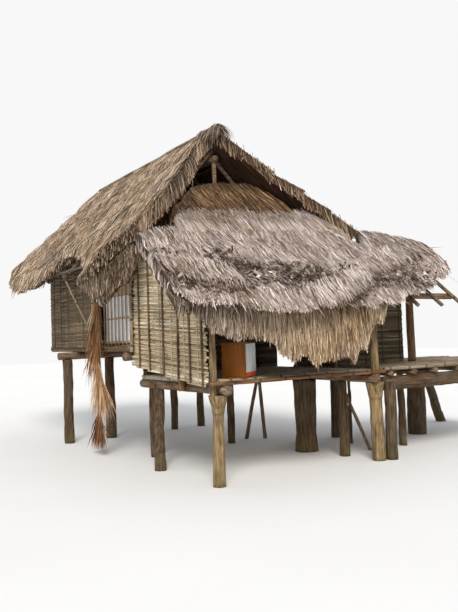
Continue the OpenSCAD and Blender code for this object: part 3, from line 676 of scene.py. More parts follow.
@dataclass
class Stamp:
    """One small form, modelled once, that a sub-assembly copies many times."""

    places: np.ndarray
    faces: list[tuple[int, ...]]

    @classmethod
    def blade(cls, pinch: tuple[float, ...] = (0.75, 1.0, 0.75)) -> "Stamp":
        """Model a leaf blade: a plane cut in three along its length, drawn to a point.

        Args:
            pinch: Width of the blade at each of its rows, before the point.

        Returns:
            The blade, one metre long along Y and one wide.
        """
        clear_selection()
        bpy.ops.mesh.primitive_plane_add(size=1, location=(0, 0.5, 0))
        piece = bpy.context.object
        bpy.ops.object.transform_apply(location=True)
        slice_up([Vector((0, k / BLADE_PARTS, 0)) for k in range(1, BLADE_PARTS)], Run.BACK.value)
        for vertex in piece.data.vertices:
            vertex.select = vertex.co.y > 0.99
        bpy.ops.object.mode_set(mode="EDIT")
        bpy.ops.mesh.merge(type="CENTER")
        bpy.ops.object.mode_set(mode="OBJECT")
        rows = corners(piece.data)
        rows[:, 0] *= np.interp(rows[:, 1], np.arange(BLADE_PARTS) / BLADE_PARTS, pinch)
        return cls.lift(piece, rows)

    @classmethod
    def strip(cls, stations: int = 9) -> "Stamp":
        """Model a split strip: a long bar cut at even stations, unit sized.

        Args:
            stations: Number of lengths along the strip.

        Returns:
            The strip, from 0 to 1 along X.
        """
        clear_selection()
        bpy.ops.mesh.primitive_cube_add(size=1, location=(0.5, 0, 0))
        piece = bpy.context.object
        bpy.ops.object.transform_apply(location=True)
        slice_up([Vector((k / stations, 0, 0)) for k in range(1, stations)], Run.ACROSS.value)
        return cls.lift(piece, corners(piece.data))

    @classmethod
    def lift(cls, piece: bpy.types.Object, rows: np.ndarray) -> "Stamp":
        """Read a modelled form and clear it away.

        Args:
            piece: The form.
            rows: Places that its vertices should have.

        Returns:
            The stamp.
        """
        faces = [tuple(face.vertices) for face in piece.data.polygons]
        mesh = piece.data
        bpy.data.objects.remove(piece)
        bpy.data.meshes.remove(mesh)
        return cls(rows, faces)

    def joined(self, name: str, copies: list[np.ndarray], marks: dict[str, np.ndarray]) -> bpy.types.Object:
        """Join placed copies of the form into one piece.

        Args:
            name: Name of the piece.
            copies: Vertex places of each copy.
            marks: Values for each vertex of all the copies, by name.

        Returns:
            The piece.
        """
        step = len(self.places)
        loops = np.concatenate([np.array(f) for f in self.faces])
        sizes = np.array([len(f) for f in self.faces])
        starts = np.concatenate([[0], np.cumsum(sizes)[:-1]])
        count = len(copies)
        mesh = bpy.data.meshes.new(name)
        mesh.vertices.add(step * count)
        mesh.vertices.foreach_set("co", np.concatenate(copies).ravel())
        mesh.loops.add(len(loops) * count)
        shift = np.repeat(np.arange(count) * step, len(loops))
        mesh.loops.foreach_set("vertex_index", np.tile(loops, count) + shift)
        mesh.polygons.add(len(sizes) * count)
        offset = np.repeat(np.arange(count) * len(loops), len(sizes))
        mesh.polygons.foreach_set("loop_start", np.tile(starts, count) + offset)
        mesh.update(calc_edges=True)
        for key, values in marks.items():
            layer = mesh.attributes.new(key, "FLOAT", "POINT")
            layer.data.foreach_set("value", np.asarray(values, np.float32))
        mesh.validate()
        piece = bpy.data.objects.new(name, mesh)
        bpy.context.scene.collection.objects.link(piece)
        return piece


@dataclass
class LeafHeap:
    """Leaves that are placed one by one and then joined into a piece."""

    blade: Stamp
    copies: list[np.ndarray] = field(default_factory=list)
    tones: list[float] = field(default_factory=list)

    def add(self, path: list[Vector] | np.ndarray, across: Vector, wide: float, tone: float) -> None:
        """Bend one blade along a path.

        Args:
            path: Points of the leaf from root to tip, one more than the blade has parts.
            across: Direction of its width.
            wide: Its width.
            tone: Its place in the finish's row of tones.
        """
        rank = np.rint(self.blade.places[:, 1] * BLADE_PARTS).astype(int)
        self.copies.append(np.array(path)[rank] + np.outer(self.blade.places[:, 0] * wide, across))
        self.tones.append(unit(tone))

    def join(self, name: str) -> bpy.types.Object:
        """Join the leaves into one piece that carries each leaf's tone and reach.

        Args:
            name: Name of the piece.

        Returns:
            The piece.
        """
        tone = np.repeat(self.tones, len(self.blade.places))
        reach = np.tile(self.blade.places[:, 1], len(self.copies))
        return self.blade.joined(name, self.copies, {"tone": tone, "reach": reach})


@dataclass(frozen=True)
class Hut:
    """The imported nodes, with the places that more than one piece needs."""

    nodes: dict[str, bpy.types.Object]
    ridge_x: float
    roof_top: float
    wall_y: float
    low: np.ndarray
    high: np.ndarray

    @classmethod
    def read(cls, frame: dict[str, Any], bounds: tuple[Any, Any]) -> "Hut":
        """Work the places out from the frame.

        Args:
            frame: The loaded frame.
            bounds: Lowest and highest corner of the CAD model.

        Returns:
            The hut.
        """
        pole_low, pole_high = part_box("ridge_pole")
        wall_low, wall_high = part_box("room_front_wall")
        low, high = (np.array(corner, float) for corner in bounds)
        low[:2] -= LEAF_SPARE
        low[2] = GROUND_GAP
        return cls(frame["nodes"], (pole_low.x + pole_high.x) / 2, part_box("thatch_left")[1].z,
                   (wall_low.y + wall_high.y) / 2, low, high + LEAF_SPARE)

    def under_roof(self, x: float) -> float:
        """Height of the main roof's underside at a place across the hut."""
        return self.roof_top - THATCH_DEPTH - abs(self.ridge_x - x)

    def on_skirt(self, x: float, down: float, out: float) -> Vector:
        """Find a place on the skirt roof.

        Args:
            x: Place across the hut.
            down: Distance down the slope from its head.
            out: Distance above its underside.

        Returns:
            The place.
        """
        cos, sin = math.cos(SKIRT_TURN), math.sin(SKIRT_TURN)
        return Vector((x, SKIRT_HEAD_SHARE * self.wall_y - down * cos - out * sin,
                       self.roof_top - SKIRT_DROP - down * sin + out * cos))


@dataclass
class Timber:
    """Logs of the frame, cut into rings, bent a little and roughened as bark is."""

    name: str
    nodes: tuple[str, ...]
    run: Run
    finish: Finish
    slot: str = "log_wood"
    ring: float = 0.09
    crook: float = 0.008
    bark: float = 0.004
    bend_pace: tuple[float, float] = (1.6, 5.0)
    bark_pace: tuple[float, float] = (7.0, 26.0)
    foot: float = 0.004

    def build(self, hut: Hut) -> bpy.types.Object:
        """Build the piece that stands for the nodes.

        Args:
            hut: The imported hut.

        Returns:
            The piece.
        """
        piece = merged_copy([hut.nodes[n] for n in self.nodes], self.name)
        rows = corners(piece.data)
        axis = self.run.index
        low, high = rows[:, axis].min(), rows[:, axis].max()
        count = max(2, int((high - low) / self.ring))
        run = Vector(self.run.value)
        slice_up([run * (low + (high - low) * k / count) for k in range(1, count)], self.run.value)
        self.roughen(piece)
        bpy.ops.object.shade_smooth_by_angle(angle=math.radians(55))
        for node in self.nodes:
            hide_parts(node)
        return dress(piece, self.finish.material())

    def roughen(self, piece: bpy.types.Object) -> None:
        """Bend each log slowly along its run and raise its bark, but leave its foot on the ground.

        Args:
            piece: The merged logs.
        """
        mesh = piece.data
        slow = Vector(self.run.grain(*self.bend_pace))
        fine = Vector(self.run.grain(*self.bark_pace))
        normals = [v.normal.copy() for v in mesh.vertices]
        for vertex, normal in zip(mesh.vertices, normals):
            p = vertex.co.copy()
            sway = noise.noise_vector(Vector(a * b for a, b in zip(p, slow))) * self.crook
            sway[self.run.index] = 0.0
            lump = noise.noise(Vector(a * b for a, b in zip(p, fine))) * self.bark
            moved = p + sway + normal * lump
            if p.z < self.foot:
                moved.z = p.z
            vertex.co = moved
        mesh.update()


@dataclass(kw_only=True)
class LeafLayer:
    """Loose leaves laid downhill over a thatch slab of the frame."""

    name: str
    node: str
    leaf: LeafFinish
    slot: str
    count: int
    seed: int
    length: tuple[float, float] = (0.3, 0.55)
    width: tuple[float, float] = (0.006, 0.014)
    lift: tuple[float, float] = (0.004, 0.026)
    yaw: float = 7.0
    overhang: float = 0.1
    lean: tuple[float, float, float] = (0.0, 0.0, 0.0)
    front_only: bool = False
    min_up: float = -0.3
    stray: float = 0.012
    stray_length: float = 0.55
    sides: float = 1.0
    verge: float = 0.6
    verge_shade: float = 0.28
    brow: float = 0.06
    hold: float = 0.05
    droop: float = 0.45
    # Shares of a face's normal, past which it looks forward, upward or to the left
    forward: float = 0.35
    upright: float = 0.25
    leftward: float = 0.8
    steep_weight: float = 1.8
    roll: float = 28.0

    def probe(self, hut: Hut) -> tuple[BVHTree, np.ndarray, np.ndarray]:
        """Survey a copy of the node and clear the copy away.

        Args:
            hut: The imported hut.

        Returns:
            What survey returns.
        """
        source = merged_copy([hut.nodes[self.node]], f"{self.name}_source")
        found = self.survey(source.data)
        bpy.data.objects.remove(source)
        return found

    def survey(self, mesh: bpy.types.Mesh) -> tuple[BVHTree, np.ndarray, np.ndarray]:
        """Choose places for the leaves, evenly by area over the outer faces.

        Args:
            mesh: The slab's merged mesh.

        Returns:
            A tree for finding the surface, the places and their facings.
        """
        mesh.calc_loop_triangles()
        rows = corners(mesh)
        tris = np.array([t.vertices[:] for t in mesh.loop_triangles])
        a, b, c = rows[tris[:, 0]], rows[tris[:, 1]], rows[tris[:, 2]]
        cross = np.cross(b - a, c - a)
        area = np.linalg.norm(cross, axis=1)
        facing = cross / np.maximum(area, 1e-12)[:, None]
        verge = (facing[:, 1] < -self.forward) & (facing[:, 2] > -0.9)
        brow = verge & (facing[:, 2] < 0.3)
        use = ((facing[:, 2] > self.min_up) | verge) & (area > 1e-7)
        if self.front_only:
            use &= facing[:, 1] < self.forward
        steep = np.where(facing[:, 2] < self.upright, self.steep_weight, 1.0)
        steep *= np.where(facing[:, 0] < -self.leftward, self.sides, 1.0)
        weight = np.where(use, area * steep, 0.0)
        dice = np.random.default_rng(self.seed)
        pick = dice.choice(len(tris), self.count, p=weight / weight.sum())
        u, v = dice.random((2, self.count))
        over = u + v > 1
        u[over], v[over] = 1 - u[over], 1 - v[over]
        spots = a[pick] + u[:, None] * (b - a)[pick] + v[:, None] * (c - a)[pick]
        spots[:, 2] += np.where(brow[pick], dice.uniform(0, self.brow, self.count), 0.0)
        tree = BVHTree.FromPolygons([tuple(r) for r in rows], [tuple(t) for t in tris])
        return tree, spots, facing[pick]

    def lay(self, hut: Hut, tree: BVHTree, spots: np.ndarray, facings: np.ndarray,
            blade: Stamp) -> bpy.types.Object:
        """Lay the leaves downhill over the surface and let their tips hang.

        Args:
            hut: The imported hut.
            tree: Tree of the surface.
            spots: Roots of the leaves.
            facings: Outward direction at each root.
            blade: The blade that is copied.

        Returns:
            All the leaves as one piece.
        """
        dice = np.random.default_rng(self.seed + 100)
        heap = LeafHeap(blade)
        for spot, facing in zip(spots, facings):
            root, out = Vector(spot), Vector(facing)
            clump = noise.noise(root * 2.3)
            turn = math.radians(dice.normal(0, self.yaw) + 12 * noise.noise(root * 1.4))
            path, side = self.walk(tree, root, out, turn, dice)
            if path is None:
                continue
            shade = self.verge_shade if facing[1] < -self.forward and not self.front_only else 0.0
            heap.add(np.clip(np.array(path), hut.low, hut.high), side, dice.uniform(*self.width),
                     dice.normal(0.5, 0.3) + 0.2 * clump - shade)
        return dress(heap.join(f"{self.name}_leaves"), self.leaf.material())

    def walk(self, tree: BVHTree, root: Vector, out: Vector, turn: float,
             dice: np.random.Generator) -> tuple[list[Vector] | None, Vector | None]:
        """Follow the surface downhill from a root, a third of a leaf at a time.

        Args:
            tree: Tree of the surface.
            root: Where the leaf starts.
            out: Outward direction there.
            turn: Turn of the leaf about it, in radians.
            dice: Source of chance.

        Returns:
            Four points of the leaf and its sideways direction, or nothing.
        """
        down = Vector((0, 0, -1)) - out * -out.z + Vector(self.lean)
        down -= out * down.dot(out)
        if down.length < 0.05:
            return None, None
        way = Matrix.Rotation(turn, 3, out) @ down.normalized()
        loose = dice.random() < self.stray
        if loose:
            way = (way + out * dice.uniform(0.02, 0.2) + Vector(dice.normal(0, 0.12, 3))).normalized()
        reach = dice.uniform(*self.length) / BLADE_PARTS
        if out.z < self.upright and out.x < 0.5:
            reach *= self.verge
        if loose:
            reach *= self.stray_length
        lift = dice.uniform(*self.lift)
        here = root + out * lift
        path = [here]
        spare = self.overhang * dice.uniform(0.2, 1.0)
        for k in range(BLADE_PARTS):
            there = here + way * reach
            spot, face, _, gap = tree.find_nearest(there)
            held = spot is not None and gap < self.hold + lift and face.z > self.min_up
            if held and not loose:
                there = spot + face * (lift + 0.004 * k)
            elif not loose:
                way = (way - Vector((0, 0, self.droop))).normalized()
                step = min(reach, spare)
                there = here + way * step
                spare = max(spare - step, 0.004)
            path.append(there)
            here = there
        side = way.cross(out)
        if side.length < 0.01:
            return None, None
        roll = math.radians(dice.normal(0, self.roll))
        side = side.normalized() * math.cos(roll) + out * math.sin(roll)
        return path, side


@dataclass(kw_only=True)
class Thatch(LeafLayer):
    """A thatch slab: a rough dark core under its leaves."""

    core: CoreFinish
    roughness: float = 0.02

    def build(self, hut: Hut, blade: Stamp) -> list[bpy.types.Object]:
        """Build the core and its leaves.

        Args:
            hut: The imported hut.
            blade: The leaf blade that is copied.

        Returns:
            Core and leaves.
        """
        core = merged_copy([hut.nodes[self.node]], f"{self.name}_core")
        tree, spots, facings = self.survey(core.data)
        bpy.ops.object.mode_set(mode="EDIT")
        bpy.ops.mesh.select_all(action="SELECT")
        bpy.ops.mesh.subdivide(number_cuts=1)
        bpy.ops.object.mode_set(mode="OBJECT")
        for vertex, normal in [(v, v.normal.copy()) for v in core.data.vertices]:
            vertex.co -= normal * self.roughness * abs(noise.noise(vertex.co * 9.0))
        core.data.update()
        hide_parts(self.node)
        dress(core, self.core.material())
        return [core, self.lay(hut, tree, spots, facings, blade)]


@dataclass(kw_only=True)
class Course(LeafLayer):
    """One more course of leaves along an edge on the slab, raised so that it casts a shadow."""

    fall: tuple[float, float]
    waver: float = 0.05

    def build(self, hut: Hut, blade: Stamp, edge: Edge) -> bpy.types.Object:
        """Lay the leaves behind the edge.

        Args:
            hut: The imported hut.
            blade: The leaf blade that is copied.
            edge: Where the course ends: points across from the ridge, each with its place back.

        Returns:
            The leaves.
        """
        tree, spots, facings = self.probe(hut)
        across, back = np.array(edge).T
        across += hut.ridge_x
        wave = self.waver * np.array([noise.noise(Vector((x * 3, 0, 7))) for x in spots[:, 0]])
        behind = spots[:, 1] - np.interp(spots[:, 0], across, back) - wave
        keep = (behind > self.fall[0]) & (behind < self.fall[1])
        keep &= (spots[:, 0] > across[0]) & (spots[:, 0] < across[-1])
        return self.lay(hut, tree, spots[keep], facings[keep], blade)


@dataclass(kw_only=True)
class Litter(LeafLayer):
    """Fallen leaves caught on the skirt roof, thickest along its lower half."""

    kept: int = 4000
    middle: float = -0.27
    spread: float = 0.27
    rest: tuple[float, float] = (0.035, 0.075)
    size: tuple[float, float] = (0.03, 0.085)
    slimness: float = 0.42
    curl: float = 0.25
    sparse: float = 0.04
    drifts: float = 0.7
    banding: float = 0.6

    def build(self, hut: Hut, blade: Stamp) -> bpy.types.Object:
        """Scatter the leaves on the upper faces of the node.

        Args:
            hut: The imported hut.
            blade: The leaf that is copied.

        Returns:
            The litter.
        """
        _, spots, facings = self.probe(hut)
        dice = np.random.default_rng(self.seed)
        u, v, _ = blade.places.T
        copies: list[np.ndarray] = []
        tones: list[float] = []
        for spot, facing in zip(spots, facings):
            place, out = Vector(spot), Vector(facing)
            band = 1 - abs(place.y - self.middle) / self.spread
            thick = self.drifts * noise.noise(place * 2.1 + Vector((3, 1, 8))) + self.banding * band
            if dice.random() > self.sparse + thick or len(copies) >= self.kept:
                continue
            side = out.orthogonal().normalized()
            side.rotate(Matrix.Rotation(dice.uniform(0, FULL_TURN), 3, out))
            way = (out.cross(side) + out * dice.uniform(-0.1, 0.5)).normalized()
            size = dice.uniform(*self.size)
            centre = np.array(place + out * dice.uniform(*self.rest))
            copies.append(centre + np.outer((v - 0.5) * size, way) + np.outer(u * size * self.slimness, side)
                          + np.outer(self.curl * size * (v - 0.5) ** 2, out))
            tones.append(unit(dice.normal(0.45, 0.25)))
        marks = {"tone": np.repeat(tones, len(u)), "reach": np.ones(len(copies) * len(u))}
        return dress(blade.joined(self.name, copies, marks), self.leaf.material())


@dataclass(frozen=True)
class Panel:
    """A flat upright panel of the frame, which a weave fills."""

    tree: BVHTree
    low: np.ndarray
    high: np.ndarray
    deep: int
    plane: float

    @classmethod
    def read(cls, mesh: bpy.types.Mesh, deep: int, widest: float = 0.1, half: float = 0.007) -> "Panel":
        """Read a panel, or of a panel that turns a corner the part that runs one way.

        Args:
            mesh: Its mesh.
            deep: Axis through the panel.
            widest: Depth past which it turns a corner.
            half: Half its thickness there.

        Returns:
            The panel.
        """
        mesh.calc_loop_triangles()
        rows = corners(mesh)
        faces = [tuple(t.vertices) for t in mesh.loop_triangles]
        tree = BVHTree.FromPolygons([tuple(r) for r in rows], faces)
        low, high = rows.min(0), rows.max(0)
        turns = high[deep] - low[deep] >= widest
        plane = float(low[deep]) + half if turns else float(low[deep] + high[deep]) / 2
        return cls(tree, low, high, deep, plane)

    def holds(self, place: Vector, margin: float = 0.05) -> bool:
        """Look through the panel at a place.

        Args:
            place: The place, whose depth doesn't count.
            margin: How far outside the panel's middle the look begins and ends.

        Returns:
            Whether there is any of the panel there.
        """
        origin, ray = place.copy(), Vector((0, 0, 0))
        origin[self.deep], ray[self.deep] = self.plane - margin, 1.0
        return self.tree.ray_cast(origin, ray, 2 * margin)[0] is not None


@dataclass
class WovenWall:
    """A wall of split bamboo strips woven in and out of upright stakes."""

    name: str
    node: str
    run: Run
    finish: StripFinish
    slot: str
    pitch: float = 0.03
    stake: float = 0.34
    rise: float = 0.0
    ragged: float = 0.005
    seed: int = 1
    swing: float = 0.0025
    cover: tuple[float, float] = (1.12, 1.3)
    outward: float = -1.0
    strip_thick: float = 0.005
    wobble: tuple[float, float] = (0.0012, 0.0015)
    tilt: float = 0.003
    ripple: float = 0.0022
    stake_thick: float = 0.006
    stake_wide: float = 0.016
    stake_sway: float = 0.006
    inset: float = 0.004
    probe: float = 0.03
    shortest: float = 0.06

    def build(self, hut: Hut, strip: Stamp) -> bpy.types.Object:
        """Weave the strips inside the CAD panel's outline.

        Args:
            hut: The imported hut.
            strip: The strip that is copied.

        Returns:
            The wall.
        """
        panel = Panel.read(hut.nodes[self.node].data, 1 - self.run.index)
        dice = np.random.default_rng(self.seed)
        along = self.run.index
        copies: list[np.ndarray] = []
        tones: list[float] = []
        level, row = panel.low[2], 0
        while level < panel.high[2]:
            for start, end in self.runs(panel, along, level):
                parts = self.weave(strip, start, end, panel.plane, level, row, dice)
                copies += parts
                tones += [unit(dice.normal(0.5, 0.25))] * len(parts)
            level += self.pitch
            row += 1
        for place in np.arange(panel.low[along] + self.stake / 2, panel.high[along], self.stake):
            for start, end in self.runs(panel, Run.UP.index, place):
                parts = self.stand(strip, start, end, panel.plane, place, dice)
                copies += parts
                tones += [unit(dice.normal(0.3, 0.15))] * len(parts)
        piece = strip.joined(self.name, copies, {"tone": np.repeat(tones, len(strip.places))})
        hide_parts(self.node)
        return dress(piece, self.finish.material())

    def runs(self, panel: Panel, along: int, level: float) -> list[tuple[float, float]]:
        """Stretches of one row, or of one stake, that lie inside the panel.

        Args:
            panel: The panel.
            along: Axis of the row or the stake.
            level: Height of the row at its start, or place of the stake.

        Returns:
            Starts and ends of the stretches.
        """
        found: list[tuple[float, float]] = []
        start: float | None = None
        low, high = panel.low[along], panel.high[along]
        for t in np.arange(low + self.inset, high + self.probe, self.probe):
            place = Vector((0, 0, level + self.rise * (t - low)))
            place[along] = t
            if along == Run.UP.index:
                place[self.run.index] = level
            inside = t <= high and panel.holds(place)
            if inside and start is None:
                start = t
            if not inside and start is not None:
                if t - start > self.shortest:
                    found.append((start, t - self.probe))
                start = None
        return found

    @staticmethod
    def lengths(strip: Stamp, start: float, end: float, longest: float = 0.95) -> list[np.ndarray]:
        """Share a run out over strips of about the same length, end to end.

        Args:
            strip: The strip that is copied.
            start: Where the run starts.
            end: Where it ends.
            longest: Longest strip.

        Returns:
            For each strip the place of its vertices along the run.
        """
        marks = np.linspace(start, end, math.ceil((end - start) / longest) + 1)
        return [low + strip.places[:, 0] * (high - low) for low, high in zip(marks, marks[1:])]

    def stand(self, strip: Stamp, start: float, end: float, plane: float, place: float,
              dice: np.random.Generator) -> list[np.ndarray]:
        """Stand one thin stake between the rows, on the outer side of the wall.

        Args:
            strip: The strip that is copied.
            start: Height of its foot.
            end: Height of its head.
            plane: Mid plane of the wall.
            place: Place along the wall.
            dice: Source of chance.

        Returns:
            The vertex places of the stake's lengths.
        """
        _, thick, wide = strip.places.T
        phase = dice.uniform(0, 6)
        made: list[np.ndarray] = []
        for z in self.lengths(strip, start, end):
            out = np.empty((len(z), 3))
            out[:, self.run.index] = place + wide * self.stake_wide + self.stake_sway * np.sin(2 * z + phase)
            out[:, 1 - self.run.index] = plane + (self.outward + thick) * self.stake_thick
            out[:, 2] = z
            made.append(out)
        return made

    def weave(self, strip: Stamp, start: float, end: float, plane: float, level: float,
              row: int, dice: np.random.Generator) -> list[np.ndarray]:
        """Bend one strip in and out along its row.

        Args:
            strip: The strip that is copied.
            start: Where it starts along the wall.
            end: Where it ends.
            plane: Mid plane of the wall.
            level: Height of the row.
            row: Number of the row.
            dice: Source of chance.

        Returns:
            The vertex places of the strip's lengths.
        """
        _, thick, tall = strip.places.T
        start -= dice.uniform(0, self.ragged)
        end += dice.uniform(-self.ragged, self.ragged)
        pace, phase = dice.uniform(2, 6), dice.uniform(0, 6)
        depth, tilt = plane + dice.normal(0, self.wobble[0]), dice.normal(0, self.tilt)
        high, middle = self.pitch * dice.uniform(*self.cover), level + dice.normal(0, self.wobble[1])
        made: list[np.ndarray] = []
        for t in self.lengths(strip, start, end):
            out = np.empty((len(t), 3))
            out[:, self.run.index] = t
            out[:, 1 - self.run.index] = (depth + self.swing * np.sin(math.pi * (t / self.stake + row))
                                          + thick * self.strip_thick + tall * tilt)
            out[:, 2] = (middle + self.rise * (t - start) + tall * high
                         + self.ripple * np.sin(t * pace + phase))
            made.append(out)
        return made


@dataclass
class Tuft:
    """Loose leaves tied over the front end of the ridge."""

    leaf: LeafFinish
    back: float = 0.5
    right_share: float = 0.4
    length: tuple[float, float] = (0.16, 0.34)
    width: tuple[float, float] = (0.006, 0.014)
    droop: float = 0.4
    count: int = 900
    seed: int = 21

    def build(self, blade: Stamp) -> bpy.types.Object:
        """Fan the leaves from the ridge line forward and down on both sides.

        Args:
            blade: The leaf blade that is copied.

        Returns:
            The leaves.
        """
        low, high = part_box("ridge_top_pole")
        head = Vector(((low.x + high.x) / 2, low.y, (low.z + high.z) / 2))
        dice = np.random.default_rng(self.seed)
        heap = LeafHeap(blade)
        for _ in range(self.count):
            side_way = 0.55 if dice.random() < self.right_share else -1
            share = dice.random() ** 1.6
            root = head + Vector((dice.normal(0, 0.02), share * self.back, dice.uniform(-0.01, 0.03)))
            way = Vector((side_way * dice.uniform(0.2, 0.7), -dice.uniform(0.05, 0.6) * (1 - share),
                          dice.uniform(-0.6, -0.2))).normalized()
            reach, path = dice.uniform(*self.length) / BLADE_PARTS, [root]
            for _ in range(BLADE_PARTS):
                path.append(path[-1] + way * reach)
                way = (way - Vector((0, 0, self.droop))).normalized()
            across = way.cross(Vector((0, 0, 1)))
            across.rotate(Matrix.Rotation(dice.normal(0, 0.6), 3, way))
            heap.add(path, across.normalized(), dice.uniform(*self.width), dice.normal(0.4, 0.22))
        return dress(heap.join("ridge_tuft"), self.leaf.material())


@dataclass
class GableWing:
    """Leaves that close the gable beside its thatch, hung on the room's front wall."""

    leaf: LeafFinish
    from_ridge: tuple[float, float] = (-1.29, -0.45)
    below_top: tuple[float, float] = (1.38, 0.58)
    head_room: float = 0.07
    off_wall: float = 0.02
    slope: float = 0.17
    length: tuple[float, float] = (0.2, 0.36)
    width: tuple[float, float] = (0.007, 0.015)
    count: int = 2600
    seed: int = 22

    def build(self, hut: Hut, blade: Stamp) -> bpy.types.Object:
        """Hang the leaves in rows that lean a little to the right.

        Args:
            hut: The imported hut.
            blade: The leaf blade that is copied.

        Returns:
            The leaves.
        """
        cover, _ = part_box("room_front_wall")
        left, right = (hut.ridge_x + part for part in self.from_ridge)
        foot, head = (hut.roof_top - part for part in self.below_top)
        dice = np.random.default_rng(self.seed)
        heap = LeafHeap(blade)
        while len(heap.copies) < self.count:
            x, z = dice.uniform(left, right), dice.uniform(foot, head)
            if z > hut.under_roof(x) - self.head_room:
                continue
            share = (z - foot) / (head - foot)
            root = Vector((x, cover.y - self.off_wall - self.slope * (1 - share), z))
            way = Vector((dice.normal(0.12, 0.06), -0.25, -1)).normalized()
            reach = dice.uniform(*self.length) / BLADE_PARTS
            path = [root + way * reach * k + Vector((0, dice.normal(0, 0.004), 0))
                    for k in range(BLADE_PARTS + 1)]
            across = Vector((1, dice.normal(0, 0.45), 0)).normalized()
            heap.add(path, across, dice.uniform(*self.width), dice.normal(0.5, 0.24))
        return dress(heap.join("gable_wing"), self.leaf.material())


@dataclass
class Crest:
    """Grey leaves that carry the skirt roof up over the foot of the gable thatch.

    Places across the hut are measured from the ridge.
    """

    leaf: LeafFinish
    across: tuple[float, float] = (-1.47, 1.58)
    down: tuple[float, float] = (0.77, 1.1)
    bends: tuple[float, ...] = (-1.12, -0.62, 0.23, 0.73)
    sinks: tuple[float, ...] = (0.16, 0.0, 0.0, -0.14)
    open_end: float = 0.93
    depth: float = 0.235
    top: float = 0.24
    loft: float = 0.025
    settle: float = 0.04
    waver: float = 0.07
    head_room: float = -0.05
    open_head_room: float = 0.12
    length: tuple[float, float] = (0.26, 0.42)
    width: tuple[float, float] = (0.006, 0.014)
    count: int = 5200
    seed: int = 23

    def build(self, hut: Hut, blade: Stamp) -> bpy.types.Object:
        """Lay the leaves down the skirt's slope, from the gable's face to its own.

        Args:
            hut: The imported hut.
            blade: The leaf blade that is copied.

        Returns:
            The leaves.
        """
        left, right = (hut.ridge_x + end for end in self.across)
        dice = np.random.default_rng(self.seed)
        heap = LeafHeap(blade)
        while len(heap.copies) < self.count:
            x = dice.uniform(left, right)
            s = self.down[0] + (self.down[1] - self.down[0]) * math.sqrt(dice.random())
            s += self.waver * noise.noise(Vector((x * 2.5, 0, 4)))
            s += float(np.interp(x - hut.ridge_x, self.bends, self.sinks))
            head_room = self.open_head_room if x - hut.ridge_x > self.open_end else self.head_room
            if hut.on_skirt(x, s, self.top).z > hut.under_roof(x) + head_room:
                continue
            reach, drift = dice.uniform(*self.length), dice.normal(0.03, 0.035)
            out = self.depth + dice.uniform(0.0, self.loft)
            path = [hut.on_skirt(x + drift * f, s + reach * f, out - self.settle * f)
                    for f in np.linspace(0, 1, BLADE_PARTS + 1)]
            across = Vector((1, dice.normal(0, 0.3), dice.normal(0, 0.3))).normalized()
            heap.add(path, across, dice.uniform(*self.width), dice.normal(0.5, 0.24))
        return dress(heap.join("skirt_crest"), self.leaf.material())


@dataclass(frozen=True)
class Bundle:
    """Leaflets that leave one stretch of the rib; lengths are shares of its height."""

    leaflets: int
    roots: tuple[float, float]
    fall: tuple[float, float]
    spread: tuple[float, float]
    tone: float


